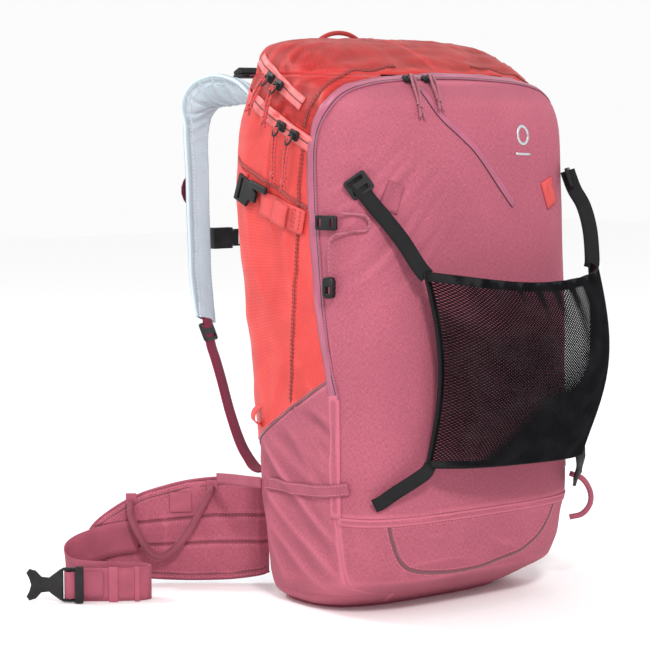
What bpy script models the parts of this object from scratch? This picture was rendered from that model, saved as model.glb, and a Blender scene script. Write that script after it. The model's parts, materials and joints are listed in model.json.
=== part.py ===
"""Ski backpack with an opening lid, a drop-down front panel, a helmet net and a hip belt.

Frame: Z up, the base stands on z = 0 with its centre at the origin. The front of the pack
faces -Y and the wearer stands on the +Y side. All sizes are in metres.
"""
import math

import bpy
import bmesh
from mathutils import Matrix, Vector

# ---- driving dimensions -------------------------------------------------------------------

CLOTH = 0.0025            # thickness of the bag's fabric walls
BOOT_CLEAR = 0.0055       # how far the bag sits inside the outer face of its bottom tub
SHELF_Z = 0.1040          # floor of the front compartment
FLAP_Z = 0.1065           # lower edge of the front panel
FLAP_TOP_Z = 0.5600
LID_GAP = 0.0012
SEAM_GAP = 0.0008         # half the width of the step where the front zip begins

BACK_POINTS = 25
FRONT_POINTS = 13

# height, half width, back, front, squareness of the outline
BODY = (
    (0.000, 0.124, 0.050, -0.078, 3.0),
    (0.010, 0.140, 0.056, -0.098, 3.2),
    (0.025, 0.149, 0.057, -0.124, 3.4),
    (0.040, 0.153, 0.057, -0.146, 3.7),
    (0.100, 0.158, 0.060, -0.162, 4.0),
    (0.140, 0.160, 0.062, -0.163, 4.0),
    (0.200, 0.161, 0.067, -0.160, 4.2),
    (0.330, 0.164, 0.086, -0.155, 4.2),
    (0.430, 0.165, 0.099, -0.148, 4.2),
    (0.500, 0.163, 0.097, -0.148, 4.1),
    (0.530, 0.161, 0.091, -0.139, 3.9),
    (0.548, 0.157, 0.087, -0.121, 3.7),
    (0.563, 0.153, 0.082, -0.096, 3.4),
    (0.576, 0.150, 0.078, -0.072, 3.2),
    (0.588, 0.142, 0.077, -0.048, 3.0),
    (0.597, 0.128, 0.071, -0.024, 2.8),
    (0.602, 0.105, 0.059, -0.002, 2.6),
    (0.604, 0.080, 0.045, 0.010, 2.5),
)

# how far forward the front zip runs, by height
SEAM = ((0.00, -0.111), (0.23, -0.110), (0.34, -0.091), (0.45, -0.081), (0.50, -0.082),
        (0.53, -0.093), (0.55, -0.099), (0.61, -0.099))
FLAP_HINGE_Y = -0.1632
LID_HINGE = (0.0, -0.1003, 0.5625)
NET_HINGE = (0.0, -0.1720, 0.1300)
LOW_RINGS = (0.0, 0.010, 0.025, 0.040, 0.072)
STERNUM_Y = 0.2465
STERNUM_Z = 0.377

# paths of the soft pieces on the left side (-X), mirrored for the right
STRAP_PATH = (
    (-0.064, 0.1035, 0.510), (-0.066, 0.1165, 0.532), (-0.072, 0.139, 0.5455),
    (-0.078, 0.163, 0.5500), (-0.082, 0.190, 0.5490), (-0.085, 0.2180, 0.5410),
    (-0.086, 0.235, 0.5230), (-0.087, 0.239, 0.4950), (-0.087, 0.237, 0.4550),
    (-0.088, 0.2345, 0.415), (-0.088, 0.2325, 0.375), (-0.089, 0.2290, 0.338),
    (-0.091, 0.2200, 0.305), (-0.093, 0.2125, 0.286),
)
STRAP_WEBBING = (
    (-0.0962, 0.1965, 0.2560), (-0.0980, 0.186, 0.2425), (-0.101, 0.170, 0.2200),
    (-0.106, 0.146, 0.1850), (-0.1115, 0.118, 0.1540), (-0.1165, 0.0900, 0.1365),
    (-0.1200, 0.0720, 0.1320), (-0.1210, 0.0590, 0.1320),
)
WING_ROOT = (-0.098, 0.084, 0.0)
WING_DIR = (-0.788, 0.616, 0.0)
WING_OUT = (-0.616, -0.788, 0.0)
WING_THICK = 0.014
BELT_WIDTH = 0.036
NET_WEBBING = 0.018

LEFT = (-1, 0, 0)

COLOURS = {
    "red": ((0.62, 0.025, 0.025, 1.0), 0.55),
    "coral": ((0.75, 0.09, 0.08, 1.0), 0.6),
    "mauve": ((0.36, 0.055, 0.095, 1.0), 0.7),
    "maroon": ((0.13, 0.008, 0.03, 1.0), 0.7),
    "pale": ((0.52, 0.60, 0.66, 1.0), 0.85),
    "black": ((0.012, 0.012, 0.013, 1.0), 0.45),
    "net": ((0.02, 0.02, 0.02, 1.0), 0.8),
    "liner": ((0.30, 0.30, 0.32, 1.0), 0.7),
    "sheet": ((0.75, 0.75, 0.72, 1.0), 0.4),
    "metal": ((0.70, 0.71, 0.73, 1.0), 0.3),
}


# ---- scene and materials ------------------------------------------------------------------

def clear_scene():
    for obj in list(bpy.data.objects):
        bpy.data.objects.remove(obj, do_unlink=True)
    for collection in list(bpy.data.collections):
        bpy.data.collections.remove(collection)


def new_collection(name):
    collection = bpy.data.collections.new(name)
    bpy.context.scene.collection.children.link(collection)
    return collection


def give_material(obj, colour):
    rgba, roughness = COLOURS[colour]
    material = bpy.data.materials.new(obj.name)
    material.use_nodes = True
    shader = material.node_tree.nodes["Principled BSDF"]
    shader.inputs["Base Color"].default_value = rgba
    shader.inputs["Roughness"].default_value = roughness
    shader.inputs["Metallic"].default_value = 1.0 if colour == "metal" else 0.0
    obj.data.materials.clear()
    obj.data.materials.append(material)


def add_object(name, data, colour, pivot=(0.0, 0.0, 0.0)):
    obj = bpy.data.objects.new(name, data)
    PACK.objects.link(obj)
    obj.location = pivot
    give_material(obj, colour)
    return obj


def mesh_object(name, points, faces, colour, pivot=(0.0, 0.0, 0.0)):
    """A mesh from points in the part's frame, with the object's origin at the pivot."""
    origin = Vector(pivot)
    mesh = bpy.data.meshes.new(name)
    mesh.from_pydata([tuple(Vector(p) - origin) for p in points], [], faces)
    mesh.validate()
    return add_object(name, mesh, colour, pivot)


def bmesh_object(name, bm, colour, pivot=(0.0, 0.0, 0.0)):
    """A mesh object from a bmesh whose points are in the part's frame."""
    bmesh.ops.translate(bm, verts=bm.verts, vec=-Vector(pivot))
    mesh = bpy.data.meshes.new(name)
    bm.to_mesh(mesh)
    bm.free()
    return add_object(name, mesh, colour, pivot)


# ---- shape helpers ------------------------------------------------------------------------

def mirrored(points, side):
    """Points drawn for the left side (-X), turned over for side = +1."""
    return [(-side * p[0], p[1], p[2]) for p in points]


def loft(name, rings, colour, pivot=(0.0, 0.0, 0.0), closed_ends=True):
    """Skin over rings of equal length, with a flat cap on the first and the last."""
    count = len(rings[0])
    points = [p for ring in rings for p in ring]
    faces = []
    for k in range(len(rings) - 1):
        for i in range(count):
            j = (i + 1) % count
            faces.append((k * count + i, k * count + j, (k + 1) * count + j, (k + 1) * count + i))
    if closed_ends:
        faces.append(tuple(reversed(range(count))))
        faces.append(tuple((len(rings) - 1) * count + i for i in range(count)))
    obj = mesh_object(name, points, faces, colour, pivot)
    face_out(obj)
    return obj


def face_out(obj):
    bm = bmesh.new()
    bm.from_mesh(obj.data)
    bmesh.ops.recalc_face_normals(bm, faces=bm.faces)
    bm.to_mesh(obj.data)
    bm.free()


def sheet(name, rows, thickness, colour, pivot=(0.0, 0.0, 0.0), offset=-1.0):
    """A grid of points given body by Solidify; its faces point out along row x column."""
    count = len(rows[0])
    points = [p for row in rows for p in row]
    faces = []
    for k in range(len(rows) - 1):
        for i in range(count - 1):
            a = k * count + i
            faces.append((a, a + 1, a + count + 1, a + count))
    obj = mesh_object(name, points, faces, colour, pivot)
    solid = obj.modifiers.new("cloth", "SOLIDIFY")
    solid.thickness = thickness
    solid.offset = offset
    solid.use_even_offset = True
    return obj


def path_frames(path, width_dirs):
    """Point, width direction and face direction at each stop of a path."""
    frames = []
    for i, point in enumerate(path):
        before = Vector(path[max(i - 1, 0)])
        after = Vector(path[min(i + 1, len(path) - 1)])
        along = (after - before).normalized()
        wide = Vector(width_dirs[min(i, len(width_dirs) - 1)])
        wide = (wide - along * wide.dot(along)).normalized()
        frames.append((Vector(point), wide, along.cross(wide).normalized()))
    return frames


def webbing(name, path, width, thickness, width_dirs, colour, pivot=(0.0, 0.0, 0.0)):
    """A flat strap along a path."""
    rows = []
    for point, wide, _face in path_frames(path, width_dirs):
        rows.append([tuple(point - wide * width / 2), tuple(point + wide * width / 2)])
    return sheet(name, rows, thickness, colour, pivot, offset=0.0)


def padded_strap(name, path, widths, thicks, width_dirs, colour, pivot=(0.0, 0.0, 0.0)):
    """A cushioned strap: rounded section, thinner at both edges."""
    shape = ((-0.5, 0.0), (-0.44, 0.32), (-0.30, 0.5), (0.0, 0.5), (0.30, 0.5), (0.44, 0.32),
             (0.5, 0.0), (0.44, -0.32), (0.30, -0.5), (0.0, -0.5), (-0.30, -0.5), (-0.44, -0.32))
    rings = []
    for i, (point, wide, face) in enumerate(path_frames(path, width_dirs)):
        rings.append([tuple(point + wide * (a * widths[i]) + face * (b * thicks[i])) for a, b in shape])
    return loft(name, rings, colour, pivot)


def plate(name, outline, holes, thickness, origin, x_dir, y_dir, colour, bevel=0.0):
    """A flat plate with holes: closed outlines drawn in metres in its own plane.

    The object's origin is the drawing's origin, so a moving plate is drawn around its pivot.
    """
    curve = bpy.data.curves.new(name, "CURVE")
    curve.dimensions = "2D"
    curve.fill_mode = "BOTH"
    curve.extrude = thickness / 2 - bevel
    curve.bevel_depth = bevel
    curve.bevel_resolution = 0
    curve.offset = -bevel
    for loop in [outline] + list(holes):
        spline = curve.splines.new("POLY")
        spline.points.add(len(loop) - 1)
        for point, (x, y) in zip(spline.points, loop):
            point.co = (x, y, 0.0, 1.0)
        spline.use_cyclic_u = True
    obj = add_object(name, curve, colour)
    x_dir = Vector(x_dir).normalized()
    y_dir = Vector(y_dir)
    y_dir = (y_dir - x_dir * y_dir.dot(x_dir)).normalized()
    turn = Matrix((x_dir, y_dir, x_dir.cross(y_dir))).transposed().to_4x4()
    obj.matrix_world = Matrix.Translation(Vector(origin)) @ turn
    return obj


def cord(name, path, radius, colour, pivot=(0.0, 0.0, 0.0)):
    """A round cord along a path."""
    origin = Vector(pivot)
    curve = bpy.data.curves.new(name, "CURVE")
    curve.dimensions = "3D"
    spline = curve.splines.new("POLY")
    spline.points.add(len(path) - 1)
    for point, place in zip(spline.points, path):
        point.co = (*(Vector(place) - origin), 1.0)
    curve.bevel_depth = radius
    curve.bevel_resolution = 1
    curve.use_fill_caps = True
    return add_object(name, curve, colour, pivot)


def block(name, size, centre, x_dir, y_dir, colour, bevel=0.0008):
    """A cube with softened edges, turned to the given directions."""
    mesh = bpy.data.meshes.new(name)
    bm = bmesh.new()
    bmesh.ops.create_cube(bm, size=1.0)
    bmesh.ops.scale(bm, verts=bm.verts, vec=size)
    bm.to_mesh(mesh)
    bm.free()
    obj = add_object(name, mesh, colour)
    x_dir = Vector(x_dir).normalized()
    y_dir = Vector(y_dir)
    y_dir = (y_dir - x_dir * y_dir.dot(x_dir)).normalized()
    turn = Matrix((x_dir, y_dir, x_dir.cross(y_dir))).transposed().to_4x4()
    obj.matrix_world = Matrix.Translation(Vector(centre)) @ turn
    edge = obj.modifiers.new("edges", "BEVEL")
    edge.width = bevel
    edge.segments = 1
    return obj


def rectangle(x0, y0, x1, y1):
    return [(x0, y0), (x1, y0), (x1, y1), (x0, y1)]


def rounded(x0, y0, x1, y1, r, steps=3):
    """A rectangle with rounded corners."""
    points = []
    corners = ((x1 - r, y0 + r), (x1 - r, y1 - r), (x0 + r, y1 - r), (x0 + r, y0 + r))
    for turn, (cx, cy) in enumerate(corners):
        for i in range(steps + 1):
            angle = math.radians(90 * (turn - 1 + i / steps))
            points.append((cx + r * math.cos(angle), cy + r * math.sin(angle)))
    return points


# ---- the body's outline -------------------------------------------------------------------

def body(z):
    """Half width, back, front and squareness of the body at a height, on a smooth curve."""
    z = min(max(z, BODY[0][0]), BODY[-1][0])
    k = max(i for i in range(len(BODY) - 1) if BODY[i][0] <= z)
    low, high = BODY[k], BODY[k + 1]
    before, after = BODY[max(k - 1, 0)], BODY[min(k + 2, len(BODY) - 1)]
    span = high[0] - low[0]
    u = (z - low[0]) / span
    values = []
    for c in range(1, 5):
        slope_low = (high[c] - before[c]) / (high[0] - before[0]) * span
        slope_high = (after[c] - low[c]) / (after[0] - low[0]) * span
        values.append((2 * u**3 - 3 * u**2 + 1) * low[c] + (u**3 - 2 * u**2 + u) * slope_low
                      + (3 * u**2 - 2 * u**3) * high[c] + (u**3 - u**2) * slope_high)
    return values


def spans(z, inset):
    """Half width, middle, half depth and squareness, pulled in by the inset."""
    half, back, front, square = body(z)
    back -= inset
    front += inset
    return half - inset, (back + front) / 2, (back - front) / 2, square


def around(z, angle, inset):
    half, middle, depth, square = spans(z, inset)
    c, s = math.cos(angle), math.sin(angle)
    x = math.copysign(abs(c) ** (2 / square), c) * half
    y = middle + math.copysign(abs(s) ** (2 / square), s) * depth
    return x, y


def seam_angle(z, inset, y):
    """How far below the X axis the outline meets a plane at y."""
    _half, middle, depth, square = spans(z, inset)
    s = min(max((y - middle) / depth, -0.96), 0.0)
    return -math.asin(abs(s) ** (square / 2))


def back_y(x, z, inset=0.0):
    half, middle, depth, square = spans(z, inset)
    return middle + depth * max(1 - abs(x / half) ** square, 0.0) ** (1 / square)


def front_y(x, z, inset=0.0):
    half, middle, depth, square = spans(z, inset)
    return middle - depth * max(1 - abs(x / half) ** square, 0.0) ** (1 / square)


def side_x(y, z):
    half, middle, depth, square = spans(z, 0.0)
    return half * max(1 - abs((y - middle) / depth) ** square, 0.0) ** (1 / square)


def seam(z):
    """How far forward the front zip runs at a height."""
    for low, high in zip(SEAM, SEAM[1:]):
        if z <= high[0]:
            return low[1] + (high[1] - low[1]) * (z - low[0]) / (high[0] - low[0])
    return SEAM[-1][1]


def seam_of(height):
    """Where a sloping ring meets the front zip."""
    y = seam(0.3)
    for _ in range(8):
        y = seam(height(y))
    return y


def back_arc(height, inset, lift, seam_y):
    """From the right seam round the back to the left seam; height gives z for a y."""
    start = seam_angle(height(seam_y), inset, seam_y)
    points = []
    for i in range(BACK_POINTS):
        angle = start + (math.pi - 2 * start) * i / (BACK_POINTS - 1)
        z = height(0.0)
        for _ in range(8):
            x, y = around(z, angle, inset)
            z = height(y)
        points.append((x, y, z + lift))
    return points


def front_arc(z, inset, lift, seam_y, count=FRONT_POINTS):
    """From the left seam round the front to the right seam."""
    start = seam_angle(z, inset, seam_y)
    points = []
    for i in range(count):
        angle = math.pi - start + (math.pi + 2 * start) * i / (count - 1)
        x, y = around(z, angle, inset)
        points.append((x, y, z + lift))
    return points


def front_wall(back, inset, limit_y, z=None):
    """Straight from the left seam to the right one, never further forward than the limit."""
    right, left = back[0], back[-1]
    z = left[2] if z is None else z
    points = []
    for i in range(FRONT_POINTS):
        u = 0.004 + 0.992 * i / (FRONT_POINTS - 1)
        x = left[0] + (right[0] - left[0]) * u
        points.append((x, max(front_y(x, left[2], inset), limit_y), z))
    return points


def parting(y):
    """Height of the main zip, which climbs from the front seam to the back."""
    return 0.503 + (y + 0.0615) * 0.42


def tub_edge(y):
    """Height of the bottom tub's upper edge on the sides and back."""
    return 0.193 - 0.547 * y


def low_ring(z, inset):
    """A level ring near the base; the lowest ones rise with the inset, to give a floor."""
    lift = inset if z < LOW_RINGS[-1] else 0.0
    back = back_arc(lambda y: z, inset, lift, seam(z) + SEAM_GAP)
    return back + front_arc(z, inset, lift, seam(z) - SEAM_GAP)


# ---- bag, tub, front panel and lid --------------------------------------------------------

def middle_ring(inset):
    def height(y):
        return (LOW_RINGS[-1] + tub_edge(y)) / 2

    back = back_arc(height, inset, 0.0, seam_of(height) + inset + SEAM_GAP)
    return back + front_arc(0.090, inset, 0.0, seam(0.090) + inset - SEAM_GAP)


def make_main_bag():
    """Open bag: full outline below the front compartment's floor, a straight front above."""
    rings = []
    for inset in (BOOT_CLEAR, BOOT_CLEAR + CLOTH):
        inner = inset - BOOT_CLEAR
        floor = SHELF_Z - inner
        skin = [low_ring(z, inset) for z in LOW_RINGS] + [middle_ring(inset)]

        def under(y):
            return tub_edge(y) - 0.0006

        def over(y):
            return tub_edge(y) + 0.0030

        def between(y):
            return (tub_edge(y) + 0.300) / 2

        under_back = back_arc(under, inset, 0.0, seam_of(under) + inset + SEAM_GAP)
        corner_z = under_back[0][2]
        front = front_arc(floor - 0.0006, inset, 0.0, seam(floor) + inset - SEAM_GAP)
        skin.append(under_back + front)
        shelf_ends = (front[-1], front[0])
        for rise, z, ends in ((0.0005, floor, shelf_ends), (0.0010, corner_z, under_back)):
            lifted = [(x, y, h + rise) for x, y, h in under_back]
            skin.append(lifted + front_wall(ends, inset, seam_of(under) + inset, z))
        for height in (over, between):
            upper = back_arc(height, inner, 0.0, seam_of(height) + inner)
            skin.append(upper + front_wall(upper, inner, seam_of(height) + inner))
        for height in (lambda y: 0.300, lambda y: 0.345, lambda y: 0.400, lambda y: 0.450,
                       lambda y: (0.450 + parting(y)) / 2, parting):
            upper = back_arc(height, inner, 0.0, seam_of(height) + inner)
            skin.append(upper + front_wall(upper, inner, seam_of(height) + inner))
        rings.append(skin)
    loft("main_bag", rings[0] + list(reversed(rings[1])), "red")


def make_bottom_tub():
    rings = []
    for inset in (0.0, CLOTH):
        skin = [low_ring(z, inset) for z in LOW_RINGS] + [middle_ring(inset)]
        edge = back_arc(tub_edge, inset, 0.0, seam_of(tub_edge) + inset + SEAM_GAP)
        lip = SHELF_Z + 0.0005
        skin.append(edge + front_arc(lip, inset, 0.0, seam(lip) + inset - SEAM_GAP))
        rings.append(skin)
    loft("bottom_tub", rings[0] + list(reversed(rings[1])), "mauve")


def make_front_flap():
    rows = []
    for z in (FLAP_Z, 0.15, 0.20, 0.25, 0.31, 0.37, 0.42, 0.46, 0.495, 0.515, 0.530, 0.542, 0.552):
        rows.append(front_arc(z, 0.0, 0.0, seam(z) - 0.002, 24))
    edge = seam(FLAP_TOP_Z) - 0.0022
    rows.append([(0.97 * x, edge, FLAP_TOP_Z) for x, _y, _z in rows[-1]])
    sheet("front_flap", rows, CLOTH, "mauve", pivot=(0.0, FLAP_HINGE_Y, FLAP_Z))


def lid_ring(height, inset):
    edge = seam_of(height) + inset
    back = back_arc(height, inset, 0.0, edge)
    return back + front_wall(back, inset, edge)


def make_lid():
    def rim(y):
        return parting(y) + LID_GAP

    def third(y):
        return (2 * rim(y) + 0.566) / 3

    def two_thirds(y):
        return (rim(y) + 2 * 0.566) / 3

    rings = []
    for inset in (0.0, CLOTH):
        skin = [lid_ring(height, inset) for height in (rim, third, two_thirds)]
        for z in (0.5665, 0.576, 0.588, 0.597, 0.602, 0.604):
            skin.append([(x, y, h - inset) for x, y, h in lid_ring(lambda y: z, inset)])
        rings.append(skin)
    loft("lid", list(reversed(rings[0])) + rings[1], "red", pivot=LID_HINGE)


def make_lid_liner():
    inset = CLOTH + 0.0014
    rings = []
    for rise in (0.0070, 0.0085):
        rings.append(lid_ring(lambda y: parting(y) + rise, inset))
    loft("lid_liner", rings, "liner", pivot=LID_HINGE)


# ---- frame and back padding ---------------------------------------------------------------

def make_frame_sheet():
    inset = BOOT_CLEAR + CLOTH + 0.0012
    rows = []
    across = (-0.110, -0.085, -0.05, 0.0, 0.05, 0.085, 0.110)
    for z in (0.060, 0.100, 0.140, 0.190, 0.240, 0.300, 0.370, 0.430, 0.500):
        rows.append([(x, back_y(x, z, inset), z) for x in across])
    sheet("frame_sheet", rows, 0.0015, "sheet", offset=1.0)


def make_stays():
    inset = BOOT_CLEAR + CLOTH + 0.0012 + 0.0015 + 0.0025
    for side, word in ((-1, "left"), (1, "right")):
        heights = (0.065, 0.10, 0.14, 0.19, 0.24, 0.30, 0.37, 0.43, 0.495)
        path = [(side * 0.050, back_y(0.055, z, inset), z) for z in heights]
        webbing(f"stay_{word}", path, 0.012, 0.003, [(1, 0, 0)], "metal")


def back_cushion(name, stations, thick, colour):
    """A pad lying on the back: stations give height, middle x, width and share of thickness."""
    shape = ((-0.5, 0.25), (-0.46, 0.75), (-0.36, 1.0), (0.0, 1.0), (0.36, 1.0), (0.46, 0.75),
             (0.5, 0.25), (0.44, 0.0), (0.2, 0.0), (-0.2, 0.0), (-0.44, 0.0))
    rings = []
    for z, middle, width, share in stations:
        ring = []
        for a, b in shape:
            x = middle + a * width
            ring.append((x, back_y(x, z) + 0.0012 + b * thick * share, z))
        rings.append(ring)
    loft(name, rings, colour)


def make_back_padding():
    for side, word in ((-1, "left"), (1, "right")):
        stations = [(z, side * 0.062, w, s) for z, w, s in (
            (0.185, 0.050, 0.3), (0.195, 0.064, 0.9), (0.25, 0.072, 1.0), (0.33, 0.072, 1.0),
            (0.41, 0.070, 1.0), (0.468, 0.060, 0.9), (0.478, 0.046, 0.3))]
        back_cushion(f"back_pad_{word}", stations, 0.013, "pale")
    stations = [(z, 0.0, w, s) for z, w, s in (
        (0.034, 0.120, 0.3), (0.044, 0.150, 0.9), (0.09, 0.168, 1.0), (0.135, 0.160, 1.0),
        (0.162, 0.130, 0.9), (0.172, 0.100, 0.3))]
    back_cushion("lumbar_pad", stations, 0.018, "pale")


# ---- shoulder straps ----------------------------------------------------------------------

def strap_sizes():
    widths = [0.046, 0.052, 0.057] + [0.060] * 6 + [0.059, 0.058, 0.055, 0.048, 0.040]
    thicks = [0.004, 0.009, 0.013] + [0.014] * 8 + [0.013, 0.011, 0.005]
    return widths, thicks


def strap_turns(side):
    """Across directions: square to the pack at the top, turned to the wearer lower down."""
    angles = (0, 0, 3, 8, 14, 21, 27, 31, 33, 33, 33, 32, 30, 28)
    return [(math.cos(math.radians(a)), -side * math.sin(math.radians(a)), 0.0) for a in angles]


def make_shoulder_straps():
    for side, word in ((-1, "left"), (1, "right")):
        path = mirrored(STRAP_PATH, side)
        widths, thicks = strap_sizes()
        turns = strap_turns(side)
        pivot = path[0]
        padded_strap(f"shoulder_strap_{word}", path, widths, thicks, turns, "pale", pivot)
        lower = mirrored(STRAP_WEBBING, side)
        fall = Vector(lower[0]) - Vector(path[-1])
        lock_at = Vector(path[-1]) + fall.normalized() * 0.0150
        make_ladder_lock(f"strap_lock_{word}", tuple(lock_at), turns[-1], fall, 0.022)
        webbing(f"strap_webbing_{word}", lower, 0.020, 0.0014, [turns[-1]], "maroon", pivot)
        make_load_lifter(side, word)


def make_load_lifter(side, word):
    path = mirrored(((-0.066, 0.0900, 0.5510), (-0.067, 0.0985, 0.5625), (-0.069, 0.1160, 0.5660),
                     (-0.0705, 0.1430, 0.5645)), side)
    webbing(f"load_lifter_{word}", path, 0.020, 0.0014, [(1, 0, 0)], "maroon", path[0])
    centre = mirrored([(-0.0715, 0.1565, 0.5640)], side)[0]
    make_ladder_lock(f"lifter_lock_{word}", centre, (1, 0, 0), (0, 1, -0.04), 0.022)


def make_ladder_lock(name, centre, across, along, width):
    half = width / 2
    outline = rounded(-half - 0.004, -0.011, half + 0.004, 0.011, 0.003, 2)
    slots = (rectangle(-half, -0.0078, half, -0.0042), rectangle(-half, 0.0030, half, 0.0070))
    plate(name, outline, slots, 0.0036, centre, across, along, "black", bevel=0.0006)


# ---- sternum strap ------------------------------------------------------------------------

def make_sternum():
    slider_at = (0.0668, STERNUM_Y + 0.0085, STERNUM_Z)
    block("sternum_slider", (0.010, 0.003, 0.034), slider_at, (1, 0, 0), (0, 1, 0), "black")
    female = bmesh.new()
    make_buckle_sleeve(female, (-0.0595, STERNUM_Y, STERNUM_Z), (0.026, 0.0100, 0.0245), 0.0016, 0.010)
    bmesh_object("sternum_female", female, "black", (-0.060, STERNUM_Y, STERNUM_Z))
    upper = [(-0.0170, 0.0100), (-0.0290, 0.0100), (-0.0300, 0.0075), (-0.0350, 0.0090),
             (-0.0370, 0.0082), (-0.0370, 0.005)]
    prong = [(x, -y) for x, y in reversed(upper)] + upper
    slot = [rectangle(-0.0225, -0.0080, -0.0195, 0.0080)]
    plate("sternum_male", prong, slot, 0.0030, (0.0, STERNUM_Y, STERNUM_Z), (1, 0, 0), (0, 0, 1), "black")
    path = [(-0.0150, STERNUM_Y, STERNUM_Z), (0.0, STERNUM_Y + 0.001, STERNUM_Z),
            (0.030, STERNUM_Y + 0.001, STERNUM_Z), (0.0600, STERNUM_Y, STERNUM_Z)]
    webbing("sternum_webbing", path, 0.018, 0.0014, [(0, 0, 1)], "maroon")


def make_buckle_sleeve(bm, start, size, wall, depth):
    """A box from start towards +X whose mouth at the far end is open to a depth."""
    x0, y, z = start
    x1 = x0 + size[0]
    outer = ring_yz(x0, y, z, size[1], size[2]), ring_yz(x1, y, z, size[1], size[2])
    inner = (ring_yz(x1, y, z, size[1] - 2 * wall, size[2] - 2 * wall),
             ring_yz(x1 - depth, y, z, size[1] - 2 * wall, size[2] - 2 * wall))
    rings = [[bm.verts.new(p) for p in ring] for ring in (outer[0], outer[1], inner[0], inner[1])]
    for a, b in zip(rings, rings[1:]):
        for i in range(4):
            bm.faces.new((a[i], a[(i + 1) % 4], b[(i + 1) % 4], b[i]))
    bm.faces.new(rings[0])
    bm.faces.new(rings[-1])
    bmesh.ops.recalc_face_normals(bm, faces=bm.faces)


def ring_yz(x, y, z, deep, tall):
    return [(x, y - deep / 2, z - tall / 2), (x, y + deep / 2, z - tall / 2),
            (x, y + deep / 2, z + tall / 2), (x, y - deep / 2, z + tall / 2)]


# ---- hip belt -----------------------------------------------------------------------------

def belt_point(along, out, z, side):
    """A place beside the left wing (or its mirror), from how far along and out it is."""
    x = WING_ROOT[0] + WING_DIR[0] * along + WING_OUT[0] * out
    y = WING_ROOT[1] + WING_DIR[1] * along + WING_OUT[1] * out
    return (-side * x, y, z)


def make_hip_belt():
    for side, word in ((-1, "left"), (1, "right")):
        make_wing(side, word)
        make_belt_webbing(side, word)


def make_wing(side, word):
    """A tapering cushion: the stations run from the root to the rounded tip."""
    stations = ((0.000, 0.012, 0.116, 0.45), (0.012, 0.008, 0.119, 0.9), (0.045, 0.004, 0.121, 1.0),
                (0.090, 0.003, 0.117, 1.0), (0.135, 0.005, 0.105, 1.0), (0.160, 0.010, 0.094, 1.0),
                (0.183, 0.018, 0.079, 0.9), (0.196, 0.028, 0.067, 0.6), (0.202, 0.040, 0.056, 0.3))
    shape = ((0.0, 0.0), (0.06, 0.36), (0.20, 0.5), (0.5, 0.5), (0.80, 0.5), (0.94, 0.36),
             (1.0, 0.0), (0.94, -0.36), (0.80, -0.5), (0.5, -0.5), (0.20, -0.5), (0.06, -0.36))
    rings = []
    for along, low, high, share in stations:
        thick = WING_THICK * share
        tall = high - low
        rings.append([belt_point(along, b * thick, low + tall * a, side) for a, b in shape])
    loft(f"hip_wing_{word}", rings, "mauve", belt_point(0.0, 0.0, 0.0, side))
    if side < 0:
        loop = ((0.153, 0.0085, 0.094), (0.152, 0.013, 0.078), (0.143, 0.018, 0.058),
                (0.130, 0.020, 0.039), (0.118, 0.020, 0.035), (0.105, 0.020, 0.043),
                (0.090, 0.019, 0.060), (0.074, 0.017, 0.088), (0.065, 0.013, 0.105),
                (0.063, 0.0085, 0.109))
        path = [belt_point(a, o + 0.004, z, side) for a, o, z in loop]
        cord("gear_loop", path, 0.0035, "maroon", path[0])


def make_belt_webbing(side, word):
    """The belt's webbing leaves the wing, turns twice on the floor and ends at a buckle."""
    plan = ((0.147, 0.0090, 0.055), (0.175, 0.0105, 0.051), (0.202, 0.0140, 0.043),
            (0.216, 0.0200, 0.036), (0.222, 0.0300, 0.029), (0.221, 0.0420, 0.023),
            (0.211, 0.0520, 0.020), (0.190, 0.0580, 0.0190), (0.160, 0.0620, 0.0190),
            (0.140, 0.0660, 0.0190), (0.129, 0.0720, 0.0190), (0.126, 0.0800, 0.0190),
            (0.130, 0.0880, 0.0190), (0.145, 0.0930, 0.0190), (0.172, 0.0955, 0.0190),
            (0.200, 0.0970, 0.0190))
    path = [belt_point(a, o, z, side) for a, o, z in plan]
    root = belt_point(0.0, 0.0, 0.0, side)
    webbing(f"belt_webbing_{word}", path, BELT_WIDTH, 0.0016, [(0, 0, 1)], "mauve", root)
    pivot = belt_point(0.2040, 0.0975, 0.0195, side)
    along = Vector(belt_point(1.0, 0.0, 0.0, side)) - Vector(root)
    if side < 0:
        upper = [(0.0490, 0.0), (0.0510, 0.0070), (0.054, 0.0130), (0.051, 0.0170), (0.044, 0.0150),
                 (0.038, 0.0085), (0.030, 0.0075), (0.018, 0.0165), (0.014, 0.0185), (0.0, 0.0185)]
        outline = [(x, -y) for x, y in reversed(upper[1:])] + upper
        slots = (rectangle(0.0030, -0.0155, 0.0055, 0.0155), rectangle(0.0105, -0.0155, 0.0145, 0.0155))
        plate("belt_buckle_male", outline, slots, 0.0050, pivot, along, (0, 0, 1), "black", bevel=0.0008)
    else:
        outline = rounded(0.0, -0.0185, 0.048, 0.0185, 0.005, 2)
        slots = (rectangle(0.0030, -0.0155, 0.0055, 0.0155), rectangle(0.0200, -0.0130, 0.0400, 0.0130))
        plate("belt_buckle_female", outline, slots, 0.0090, pivot, along, (0, 0, 1), "black", bevel=0.0008)


# ---- helmet net ---------------------------------------------------------------------------

def net_point(a, b):
    """A place on the net: a runs left to right and b bottom to top, both 0 to 1."""
    left = -0.0900 - 0.004 * b
    right = 0.118 + 0.012 * b + 0.010 * math.sin(math.pi * b)
    x = left + (right - left) * a
    z = 0.164 + 0.199 * b - 0.012 * math.sin(math.pi * a) * b - 0.003 * a * (1 - b)
    across = (1 - abs(2 * a - 1) ** 3.0) ** 0.75
    up = math.sin(math.pi * (0.14 + 0.60 * b))
    y = -0.1780 - 0.009 * a - 0.076 * across * up
    return x, y, z


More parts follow.
